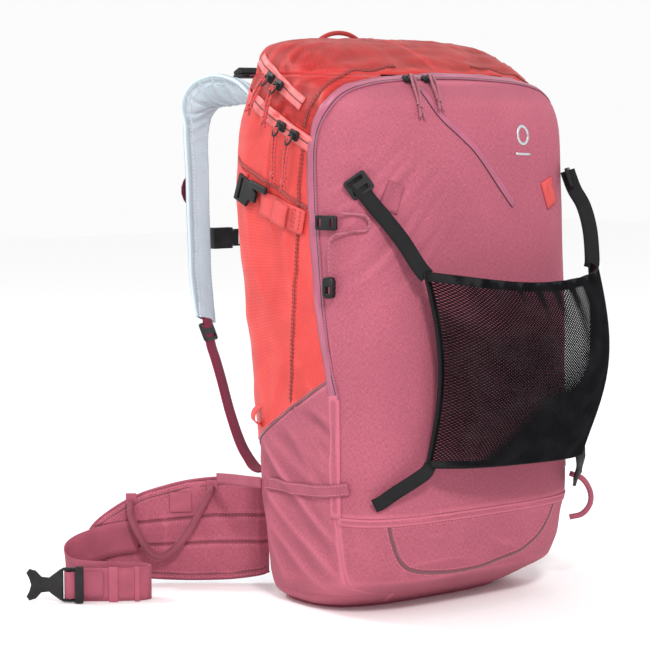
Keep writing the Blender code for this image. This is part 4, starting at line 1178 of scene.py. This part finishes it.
def make_knot(name, centre, along, out, material):
    """An overhand knot: the cord wound one and a half times round itself."""
    side = along.cross(out).normalized()
    path = []
    for t in np.linspace(0, 3 * math.pi, 40):
        ring = side * math.cos(t) * 0.0023 + out * math.sin(t) * 0.0019
        path.append(tuple(centre + ring + along * (0.0030 * math.cos(t * 2 / 3))))
    return tube(name, path, CORD, material, 7)


def make_hook_lever():
    low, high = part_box("compression_hook")
    start = Vector((low.x + 0.0015, low.y + 0.006, (low.z + high.z) / 2 + 0.006))
    along = Vector((-0.02, -0.96, -0.27))
    lever = rounded_block("hook_lever", (0.030, 0.0075, 0.0042), start + along * 0.010, along,
                          (0, -0.27, 0.96), "plastic", 0.0016)
    place(lever, "hook", "black_plastic")


def make_haul_handle():
    path = []
    for a in np.linspace(0, math.pi, 41):
        rise = max(math.sin(a), 0.0) ** 0.52
        path.append((0.006 + 0.044 * math.cos(a), 0.0935 - 0.004 * rise, 0.545 + 0.0675 * rise))
    path = smooth_path(path, 60)
    place(tube("haul_loop", path, 0.0027, "red_cord", 10), "handle", "coral_cord", "haul_handle")
    for share, word in ((0, "left"), (-1, "right")):
        spot = Vector(path[share])
        piece = rounded_block(f"haul_loop_tack_{word}", (0.013, 0.0030, 0.014),
                              spot + Vector((0, -0.001, 0.006)), (1, 0, 0), (0, 1, 0), "red", 0.0010)
        place(piece, "handle", "coral_cord")


def polish_hardware():
    """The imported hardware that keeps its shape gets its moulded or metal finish."""
    finishes = {"frame_sheet": "sheet", "stay_left": "metal", "stay_right": "metal", "lid_liner": "lining"}
    for name, node in NODES.items():
        material = finishes.get(name, "plastic")
        node.data.materials.clear()
        node.data.materials.append(MATERIALS[material])
        node.data.shade_smooth()
        node.data.set_sharp_from_angle(angle=math.radians(35))
        uv = node.data.uv_layers.new(name="cloth")
        for loop in node.data.loops:
            spot = node.data.vertices[loop.vertex_index].co
            uv.data[loop.index].uv = (spot.x, spot.y + spot.z)


# ---- shoulder straps ----------------------------------------------------------------------

def strap_shape(side):
    """Centres, widths, thicknesses and width directions along a shoulder strap."""
    table = np.hstack([np.array(STRAP_PATH), np.array(STRAP_WIDTHS)[:, None],
                       np.array(STRAP_THICKS)[:, None], np.radians(STRAP_TURNS)[:, None]])
    fine = smooth_path(table, 120)
    centres = mirror_x(fine[:, :3], side)
    turn = fine[:, 5]
    along = directions(centres)
    run = run_along(centres)
    tilt = 0.62 * np.exp(-((run - 0.105) / 0.060) ** 2)
    wide = np.stack([np.cos(turn), -side * np.sin(turn), side * tilt], axis=1)
    wide -= along * (wide * along).sum(axis=1, keepdims=True)
    wide /= np.linalg.norm(wide, axis=1, keepdims=True)
    return centres, fine[:, 3], fine[:, 4], wide, np.cross(along, wide)


def cushion_skin(name, centres, widths, thicks, wide, face, sign, material, wrinkle):
    """One skin of a padded strap, crowned between its bound edges."""
    rows = []
    run = run_along(centres)
    for k in range(len(centres)):
        row = []
        for share in np.linspace(-1, 1, 33):
            crown = (1 - abs(share) ** 3.2) ** 0.5 if abs(share) < 1 else 0.0
            channel = math.exp(-((abs(share) - 0.80) / 0.05) ** 2)
            lift = thicks[k] / 2 * 0.94 * (0.16 + 0.84 * crown) - 0.0011 * channel
            spot = centres[k] + wide[k] * widths[k] / 2 * 0.955 * share
            ripple = wrinkle(run[k], share)
            row.append(spot + face[k] * sign * (lift + ripple * crown))
        rows.append(row)
    grid = np.array(rows)
    return grid_piece(name, grid if sign > 0 else grid[:, ::-1], material)


def strap_wrinkle(run, share):
    """Cross wrinkles where the strap bends over at the top, calm lower down."""
    bend = math.exp(-((run - 0.120) / 0.060) ** 2)
    phase = run * math.pi / 0.017 + 0.9 * math.sin(share * 2.2 + run * 40)
    wave = 1 - 2 * abs(math.sin(phase)) ** 0.6
    low = 0.0009 * crease((share * 0.03, run, 0.3), 0.045, (1.0, 1.0, 1.0))
    return -bend * 0.0030 * wave * (0.6 + 0.4 * math.cos(share * 2)) + low


def make_shoulder_straps():
    for side, word in SIDES:
        body_name = f"strap_{word}"
        centres, widths, thicks, wide, face = strap_shape(side)
        inward = np.sign(face[60] @ np.array((0.0, -1.0, 0.0)))
        inner = cushion_skin(f"strap_lining_{word}", centres, widths, thicks, wide, face, inward, "mesh",
                             strap_wrinkle)
        outer = cushion_skin(f"strap_cover_{word}", centres, widths, thicks, wide, face, -inward, "mesh",
                             lambda run, share: 0.5 * strap_wrinkle(run + 0.004, share))
        piece = joined(f"shoulder_pad_{word}", [inner, outer])
        place(piece, body_name, "spacer_mesh", f"shoulder_strap_{word}")
        make_strap_binding(word, centres, widths, wide)
        make_strap_stitching(word, centres, widths, thicks, wide, face, inward)
        make_daisy_strip(word, centres, wide, face, -inward, thicks)
        lower = smooth_path(mirror_x(STRAP_WEBBING, side), 44)
        across = (math.cos(math.radians(28)), -side * math.sin(math.radians(28)), 0.0)
        webbing = strip(f"strap_tail_{word}", lower, 0.020, across, "maroon")
        place(webbing, body_name, "maroon_webbing", f"strap_webbing_{word}")
        low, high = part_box(f"lifter_lock_{word}")
        latch = rounded_block(f"lifter_latch_{word}", (0.027, 0.0125, 0.0085),
                              ((low.x + high.x) / 2, high.y - 0.0065, high.z + 0.0020), (1, 0, 0),
                              (0, 1, -0.45), "plastic", 0.0022)
        place(latch, body_name, "black_plastic")
        lifter = smooth_path(mirror_x(LOAD_LIFTER, side), 20)
        place(strip(f"lifter_webbing_{word}", lifter, 0.020, (1, 0, 0), "maroon"), body_name,
              "maroon_webbing", f"load_lifter_{word}")


def make_strap_binding(word, centres, widths, wide):
    """Rolled binding down each edge of the pad."""
    for sign, tag in ((1, "a"), (-1, "b")):
        edge = centres + wide * (widths / 2 * BINDING_SHARE * sign)[:, None]
        piece = tube(f"strap_binding_{word}_{tag}", edge, 0.0017, "mesh", 8)
        place(piece, f"strap_{word}", "spacer_mesh")


def make_strap_stitching(word, centres, widths, thicks, wide, face, inward):
    for sign, tag in ((-1, "a"), (1, "b")):
        line = centres + wide * (widths / 2 * STITCH_SHARE)[:, None] * sign
        lifted = line + face * (inward * thicks / 2 * 0.72)[:, None]
        piece = stitches(f"strap_stitch_{word}_{tag}", lifted[4:-4], face[4:-4] * inward, "pale_thread")
        place(piece, f"strap_{word}", "spacer_mesh")


def make_daisy_strip(word, centres, wide, face, sign, thicks):
    """Webbing sewn down the outside of the strap, tacked at intervals."""
    path = centres[DAISY] + face[DAISY] * (sign * (thicks[DAISY] / 2 + 0.0009))[:, None]
    place(strip(f"strap_daisy_{word}", path, 0.018, wide[DAISY], "maroon", 0.0012), f"strap_{word}",
          "maroon_webbing")
    slack = [k for k in range(len(centres)) if 0.412 < centres[k][2] < 0.455]
    lift = 0.0085 * np.sin(np.linspace(0, math.pi, len(slack))) ** 0.8 + 0.0014
    path_off = centres[slack] + face[slack] * (sign * (thicks[slack] / 2 + lift))[:, None]
    place(strip(f"strap_slack_{word}", path_off, 0.015, wide[slack], "maroon", 0.0012), f"strap_{word}",
          "maroon_webbing")
    for k, spot in enumerate(range(6, 70, 12)):
        out = face[DAISY][spot] * sign
        row = np.array([path[spot] + wide[DAISY][spot] * s + out * 0.0008
                        for s in np.linspace(-0.008, 0.008, 8)])
        normal = np.repeat(out[None], 8, axis=0)
        place(stitches(f"strap_daisy_tack_{word}_{k}", row, normal, "mauve_thread"), f"strap_{word}",
              "maroon_webbing")


# ---- hip belt -----------------------------------------------------------------------------

def belt_point(along, out, z, side):
    x = WING_ROOT[0] + WING_DIR[0] * along + WING_OUT[0] * out
    y = WING_ROOT[1] + WING_DIR[1] * along + WING_OUT[1] * out
    return (-side * x, y, z)


WING_TABLE = np.array(WING_STATIONS)


def wing_edges(along):
    return tuple(float(np.interp(along, WING_TABLE[:, 0], WING_TABLE[:, c])) for c in (1, 2, 3))


def wing_lift(along, z):
    """How far the wing's face stands off its middle plane."""
    low, high, share = wing_edges(along)
    edge = min(abs(2 * (z - low) / (high - low) - 1), 1.0)
    crown = (1 - edge ** 4.5) ** 0.5
    lift = WING_THICK / 2 * share * (0.18 + 0.80 * crown) * 0.96
    for groove in (wing_line_upper, wing_line_lower):
        lift -= 0.0020 * math.exp(-((z - groove(along)) / 0.0026) ** 2)
    return max(lift, 0.0004), crown


def wing_skin(name, side, sign, material):
    rows = []
    for along in np.linspace(0, WING_TABLE[-1, 0], 110):
        low, high, _share = wing_edges(along)
        row = []
        for z in np.linspace(low + 0.0022, high - 0.0022, 61):
            lift, crown = wing_lift(along, z)
            soft = crease((along, z * 0.5, 4.0), 0.03, (1.0, 1.0, 1.0))
            lift += (0.0011 * folds((along, z, 2.0 + sign), 0.024) + 0.0012 * soft) * crown
            row.append(belt_point(along, sign * max(lift, 0.0004), z, side))
        rows.append(row)
    grid = np.array(rows)
    flip = (sign * side) > 0
    return grid_piece(name, grid[:, ::-1] if flip else grid, material)


def wing_line_upper(along):
    return 0.078 - 0.10 * max(along - 0.06, 0.0)


def wing_line_lower(along):
    return 0.048 - 0.05 * max(along - 0.06, 0.0)


def make_hip_belt():
    for side, word in SIDES:
        body_name = f"wing_{word}"
        outer = wing_skin(f"wing_cover_{word}", side, 1, "mauve")
        inner = wing_skin(f"wing_lining_{word}", side, -1, "mesh")
        piece = joined(f"wing_pad_{word}", [outer, inner])
        place(piece, body_name, "mauve_canvas", f"hip_wing_{word}")
        make_wing_trim(side, word)
        make_belt_webbing(side, word)
    make_wing_hardware()


def make_wing_trim(side, word):
    body_name = f"wing_{word}"
    table = smooth_path(WING_STATIONS, 60)
    top = [belt_point(a, 0.0, high - 0.0020, side) for a, low, high, _s in table]
    bottom = [belt_point(a, 0.0, low + 0.0022, side) for a, low, high, _s in table]
    tip_heights = np.linspace(table[-1][2] - 0.004, table[-1][1] + 0.004, 6)
    tip = [belt_point(0.2022, 0.0, z, side) for z in tip_heights]
    rim = smooth_path(top + tip + bottom[::-1], 150)
    place(tube(f"wing_piping_{word}", rim, 0.0021, "mauve_webbing", 8), body_name, "mauve_canvas")
    out = np.array(belt_point(0, 1, 0, side)) - np.array(belt_point(0, 0, 0, side))
    for k, line in enumerate((wing_line_upper, wing_line_lower)):
        for offset, tag in ((-0.0030, "low"), (0.0030, "high")):
            spots = [(a, line(a) + offset) for a in np.linspace(0.016, 0.152, 34)]
            wing_stitches(f"wing_stitch_{word}_{k}_{tag}", side, word, spots, out)
    for inset, tag in ((0.0042, "outer"), (0.0105, "inner")):
        spots = []
        for a in np.linspace(0.006, 0.196, 60):
            spots.append((a, wing_edges(a)[1] - inset))
        wing_stitches(f"wing_top_stitch_{word}_{tag}", side, word, spots, out)
        spots = [(a, wing_edges(a)[0] + inset) for a in np.linspace(0.006, 0.190, 56)]
        wing_stitches(f"wing_base_stitch_{word}_{tag}", side, word, spots, out)
    for top, tag in ((True, "top"), (False, "base")):
        points = []
        for a in np.linspace(0.002, 0.196, 70):
            z = wing_edges(a)[1] - 0.0078 if top else wing_edges(a)[0] + 0.0078
            points.append(belt_point(a, wing_lift(a, z)[0] + 0.0001, z, side))
        bound = tube(f"wing_bound_edge_{word}_{tag}", points, 0.0006, "mauve_seam", 6)
        place(bound, body_name, "mauve_canvas")


def wing_stitches(name, side, word, spots, out):
    path = np.array([belt_point(a, wing_lift(a, z)[0] + 0.0004, z, side) for a, z in spots])
    normal = np.repeat(out[None], len(path), axis=0)
    piece = stitches(name, path, normal, "mauve_thread", 0.0022, 0.0014, 0.00042)
    place(piece, f"wing_{word}", "mauve_canvas")


def flex_to_buckle(piece):
    """Webbing that stays with the wing and turns with the buckle over its last centimetres."""
    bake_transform(piece)


def make_belt_webbing(side, word):
    path = smooth_path([belt_point(a, o, z, side) for a, o, z in BELT_PLAN], 150)
    piece = strip(f"belt_strap_{word}", path, BELT_WIDTH, (0, 0, 1), "belt", 0.0016, 7)
    flex_to_buckle(piece)
    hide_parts(f"belt_webbing_{word}")
    for k, (spot, width) in enumerate(((118, 0.0055), (131, 0.0100))):
        run = np.array(path[spot - 3:spot + 4])
        centre = run.mean(axis=0)
        keeper = rounded_block(f"belt_keeper_{word}_{k}", (width, 0.0375, 0.0046), centre,
                               tuple(run[-1] - run[0]), (0, 0, 1), "belt", 0.0008)
        place(keeper, f"wing_{word}", "maroon_webbing")
    turn = [(0.176, 0.0980), (0.196, 0.0998), (0.2040, 0.1006), (0.2080, 0.1022), (0.2115, 0.1028),
            (0.2150, 0.1015), (0.2168, 0.0975), (0.2160, 0.0935), (0.2100, 0.0925), (0.2040, 0.0940),
            (0.198, 0.0950)]
    loop = smooth_path([belt_point(a, o, BUCKLE_Z, side) for a, o in turn], 50)
    flex_to_buckle(strip(f"belt_end_{word}", loop, 0.0290, (0, 0, 1), "belt", 0.0014))
    near, far = (Vector(belt_point(a, 0.1045, 0.0208, side)) for a in (0.196, 0.205))
    bar = rounded_block(f"belt_end_bar_{word}", (0.0090, 0.0400, 0.0040), (near + far) / 2,
                        far - near, (0, 0, 1), "plastic", 0.0018)
    place(bar, f"belt_buckle_{word}", "maroon_webbing")


def make_wing_hardware():
    path = smooth_path([belt_point(a, o, z, LEFT) for a, o, z in GEAR_LOOP], 70)
    place(tube("gear_loop_tube", path, 0.0043, "loop_webbing", 12), "gear_loop", "mauve_cord", "gear_loop")
    for k, (along, z) in enumerate(((0.153, 0.097), (0.063, 0.112))):
        piece = rounded_block(f"gear_loop_tack_{k}", (0.012, 0.012, 0.0016),
                              belt_point(along, 0.0078, z, LEFT), (*WING_DIR, 0), (0, 0, 1),
                              "mauve_webbing", 0.0006)
        place(piece, "wing_left", "mauve_canvas")
    patch = rounded_block("wing_patch", (0.024, 0.022, 0.0012), belt_point(0.098, 0.0078, 0.0930, LEFT),
                          (*WING_DIR, 0), (0, 0, 1), "mauve_webbing", 0.0005)
    place(patch, "wing_left", "mauve_canvas")


# ---- back padding, net and loops ----------------------------------------------------------

def back_cushion(name, node, stations, thick):
    """A pad on the back: crowned, with rounded ends and a pressed channel down its middle."""
    table = smooth_path(stations, 60)
    rows = []
    for z, middle, width, share in table:
        row = []
        for s in np.linspace(-1, 1, 41):
            crown = (1 - abs(s) ** 4) ** 0.5 if abs(s) < 1 else 0.0
            x = middle + s * width / 2 * 0.985
            lift = 0.0014 + thick * share * 0.93 * crown
            lift -= 0.0022 * math.exp(-(s / 0.07) ** 2) * share
            lift -= 0.0016 * max(math.cos(2 * math.pi * z / 0.058), 0.0) ** 24 * crown
            lift += 0.0005 * folds((x, z, 1.0), 0.02) * crown
            row.append((x, back_at(x, z) + max(lift, 0.0012), z))
        rows.append(row)
    piece = grid_piece(name, np.array(rows)[:, ::-1], "mesh", 0.0008)
    place(piece, "pack", "spacer_mesh", node)


def make_back_padding():
    for side, word in SIDES:
        stations = [(z, side * 0.062, w, s) for z, w, s in (
            (0.185, 0.050, 0.1), (0.195, 0.064, 0.9), (0.25, 0.072, 1.0), (0.33, 0.072, 1.0),
            (0.41, 0.070, 1.0), (0.468, 0.060, 0.9), (0.478, 0.046, 0.1))]
        back_cushion(f"back_cushion_{word}", f"back_pad_{word}", stations, 0.013)
    stations = [(z, 0.0, w, s) for z, w, s in (
        (0.034, 0.120, 0.1), (0.044, 0.150, 0.9), (0.09, 0.168, 1.0), (0.135, 0.160, 1.0),
        (0.162, 0.130, 0.9), (0.172, 0.100, 0.1))]
    back_cushion("lumbar_cushion", "lumbar_pad", stations, 0.018)


def net_point(a, b):
    """A place on the net: a runs left to right and b bottom to top, both 0 to 1."""
    left = -0.0900 - 0.004 * b + 0.019 * math.sin(math.pi * b)
    right = 0.118 + 0.012 * b + 0.010 * math.sin(math.pi * b)
    x = left + (right - left) * a
    z = 0.164 + 0.199 * b - 0.012 * math.sin(math.pi * a) * b - 0.003 * a * (1 - b)
    across = max(1 - abs(2 * a - 1) ** 3.0, 0.0) ** 0.75
    up = math.sin(math.pi * (0.14 + 0.60 * b))
    y = -0.1780 - 0.009 * a - 0.076 * across * up
    return np.array((x, y, z))


def make_net():
    """Crossed strands of knitted net, with hemmed edges and gathers near the top."""
    columns, rows = NET_COUNTS
    points = []
    index = {}
    for j in range(rows + 1):
        for i in range(columns + 1):
            if (i + j) % 2:
                continue
            a, b = i / columns, j / rows
            spot = net_point(a, b)
            spot[1] += 0.0012 * math.sin(a * 60) * b ** 6
            index[i, j] = len(points)
            points.append(spot)
    faces = []
    for j in range(rows + 1):
        for i in range(columns + 1):
            if (i + j) % 2 == 0:
                continue
            ring = [index[near] for near in ((i - 1, j), (i, j - 1), (i + 1, j), (i, j + 1)) if near in index]
            if len(ring) >= 3:
                faces.append(ring)
    obj = mesh_piece("net_strands", points, faces, "net", smooth=False)
    wires = obj.modifiers.new("strands", "WIREFRAME")
    wires.thickness = NET_STRAND
    wires.use_even_offset = False
    wires.use_boundary = True
    place(obj, "net", "stretch_net", "helmet_net")
    make_net_hems()


def make_net_hems():
    edges = {
        "top": [net_point(a, 1.0) for a in np.linspace(0, 1, 80)],
        "bottom": [net_point(a, 0.0) for a in np.linspace(0, 1, 80)],
        "left": [net_point(0.0, b) for b in np.linspace(0, 1, 50)],
        "right": [net_point(1.0, b) for b in np.linspace(0, 1, 50)],
    }
    for word, path in edges.items():
        path = np.array(path)
        across = (0, 0, 1) if word in ("top", "bottom") else (1, 0, 0)
        if word == "top":
            gathers = np.array([0.0008 * math.sin(k * 1.7) for k in range(len(path))])
            path[:, 1] -= gathers
            path[:, 2] -= 0.0040
        if word == "bottom":
            path[:, 2] += 0.0030
        piece = strip(f"net_hem_{word}", path, 0.0095 if word == "top" else 0.0070, across, "black_webbing",
                      0.0018)
        place(piece, "net", "stretch_net")


# name, width direction and path of each webbing that holds the net
NET_STRAPS = (
    ("upper_left", (0.75, -0.45, 0.45), (
        (-0.1490, -0.1290, 0.4590), (-0.1450, -0.1322, 0.4510), (-0.1370, -0.1385, 0.4370),
        (-0.1205, -0.1500, 0.4130), (-0.1090, -0.1600, 0.3935), (-0.0985, -0.1720, 0.3690),
        (-0.0925, -0.1780, 0.3590))),
    ("upper_right", (0.75, -0.62, 0), (
        (0.1440, -0.1355, 0.4610), (0.1455, -0.1380, 0.4530), (0.1472, -0.1438, 0.4400),
        (0.1490, -0.1560, 0.4230), (0.1450, -0.1700, 0.3980), (0.1340, -0.1850, 0.3680),
        (0.1305, -0.1870, 0.3585))),
    ("lower_left", (0.65, 0, -0.75), (
        (-0.0890, -0.1800, 0.1660), (-0.0940, -0.1795, 0.1590), (-0.1060, -0.1735, 0.1500),
        (-0.1215, -0.1645, 0.1390), (-0.1330, -0.1550, 0.1285), (-0.1385, -0.1500, 0.1250))),
    ("lower_right", (0.75, 0, 0.65), (
        (0.1180, -0.1862, 0.1640), (0.1215, -0.1835, 0.1560), (0.1285, -0.1770, 0.1485),
        (0.1360, -0.1675, 0.1405), (0.1420, -0.1590, 0.1320), (0.1460, -0.1545, 0.1265))),
)


def make_net_straps():
    for word, across, path in NET_STRAPS:
        piece = strip(f"net_webbing_{word}", smooth_path(path, 26), 0.0160, across, "black_webbing")
        place(piece, "net", "black_webbing", f"net_strap_{word}")


def make_loops():
    low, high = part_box("rear_loop")
    middle = (low + high) / 2
    path = smooth_path([(high.x - 0.0005, middle.y - 0.004, high.z - 0.003),
                        (low.x + 0.003, middle.y, high.z - 0.010),
                        (low.x + 0.0015, middle.y, low.z + 0.011),
                        (high.x - 0.001, middle.y - 0.003, low.z + 0.004)], 24)
    place(strip("ski_loop_rear", path, 0.010, (0.3, 1.0, 0.2), "coral"), "pack", "red_ripstop", "rear_loop")
    path = smooth_path([(0.1500, -0.1380, 0.128), (0.160, -0.148, 0.122), (0.167, -0.153, 0.108),
                        (0.167, -0.153, 0.094), (0.160, -0.148, 0.083), (0.1500, -0.1385, 0.079)], 40)
    place(tube("ski_loop_side", path, 0.0031, "mauve_webbing", 10), "pack", "mauve_cord", "side_loop")
    path = smooth_path([(-0.1655, -0.1110, 0.3620), (-0.1665, -0.1110, 0.3850), (-0.1650, -0.1140, 0.3980),
                        (-0.1580, -0.1220, 0.4025), (-0.1480, -0.1310, 0.4045), (-0.1400, -0.1385, 0.4060),
                        (-0.1375, -0.1410, 0.4130), (-0.1400, -0.1380, 0.4200), (-0.1480, -0.1300, 0.4220),
                        (-0.1580, -0.1210, 0.4225)], 70)
    piece = tube("axe_bungee_cord", path, 0.0013, "mauve_cord", 8)
    place(piece, "pack", "mauve_cord", "axe_bungee")


def make_sternum():
    path = smooth_path([(-0.0150, STERNUM_Y, STERNUM_Z), (0.0, STERNUM_Y + 0.001, STERNUM_Z),
                        (0.030, STERNUM_Y + 0.001, STERNUM_Z), (0.0600, STERNUM_Y, STERNUM_Z)], 30)
    place(strip("sternum_strap", path, 0.018, (0, 0, 1), "maroon"), "sternum_right", "maroon_webbing",
          "sternum_webbing")


# ---- light, floor and camera --------------------------------------------------------------

CAMERA_AT = (-1.5327, -1.8536, 0.5262)
CAMERA_ANGLES = (-38, 5.6)          # azimuth and elevation, degrees
CAMERA_LENS = 121.3
FLOOR_GREY = (0.965, 0.965, 0.965)


def add_area_light(name, place_at, target, size, power):
    light = bpy.data.lights.new(name, "AREA")
    light.shape = "DISK"
    light.size = size
    light.energy = power
    obj = link(name, light)
    obj.location = place_at
    obj.rotation_euler = (Vector(target) - Vector(place_at)).to_track_quat("-Z", "Y").to_euler()


def make_stage():
    mesh = bpy.data.meshes.new("floor")
    mesh.from_pydata([(-6, -6, 0), (6, -6, 0), (6, 6, 0), (-6, 6, 0)], [], [(0, 1, 2, 3)])
    mesh.materials.append(new_material("floor", FLOOR_GREY, 0.95)[0])
    floor = link("floor", mesh)
    floor.location.z = -0.0002
    world = bpy.data.worlds.new("studio")
    world.use_nodes = True
    background = world.node_tree.nodes["Background"]
    background.inputs[0].default_value = (1.0, 1.0, 1.0, 1.0)
    background.inputs[1].default_value = 0.97
    bpy.context.scene.world = world
    bpy.context.scene.view_settings.view_transform = "Standard"
    add_area_light("key", (-1.2, -2.2, 2.0), (0.0, 0.0, 0.3), 0.5, 52)
    add_area_light("fill", (-1.2, 1.3, 1.9), (-0.1, 0.0, 0.3), 0.4, 16)
    add_area_light("rim", (-1.2, 2.0, 1.8), (0.0, 0.0, 0.35), 1.2, 12)


def make_camera():
    azimuth, elevation = (math.radians(angle) for angle in CAMERA_ANGLES)
    back = Vector((math.sin(azimuth) * math.cos(elevation), -math.cos(azimuth) * math.cos(elevation),
                   math.sin(elevation)))
    right = Vector((math.cos(azimuth), math.sin(azimuth), 0))
    turn = Matrix((right, back.cross(right), back)).transposed().to_4x4()
    camera = bpy.data.cameras.new("camera")
    camera.lens = CAMERA_LENS
    camera.sensor_width = 36
    obj = link("camera", camera)
    obj.matrix_world = Matrix.Translation(Vector(CAMERA_AT)) @ turn
    bpy.context.scene.camera = obj


make_camera()
make_stage()
polish_hardware()
make_bag()
make_tub()
make_front_panel()
make_lid()
make_zips()
make_side_seams()
make_front_details()
make_compression()
make_sliders()
make_pull_cords()
make_hook_lever()
make_haul_handle()
make_shoulder_straps()
make_sternum()
make_hip_belt()
make_back_padding()
make_net()
make_net_straps()
make_loops()
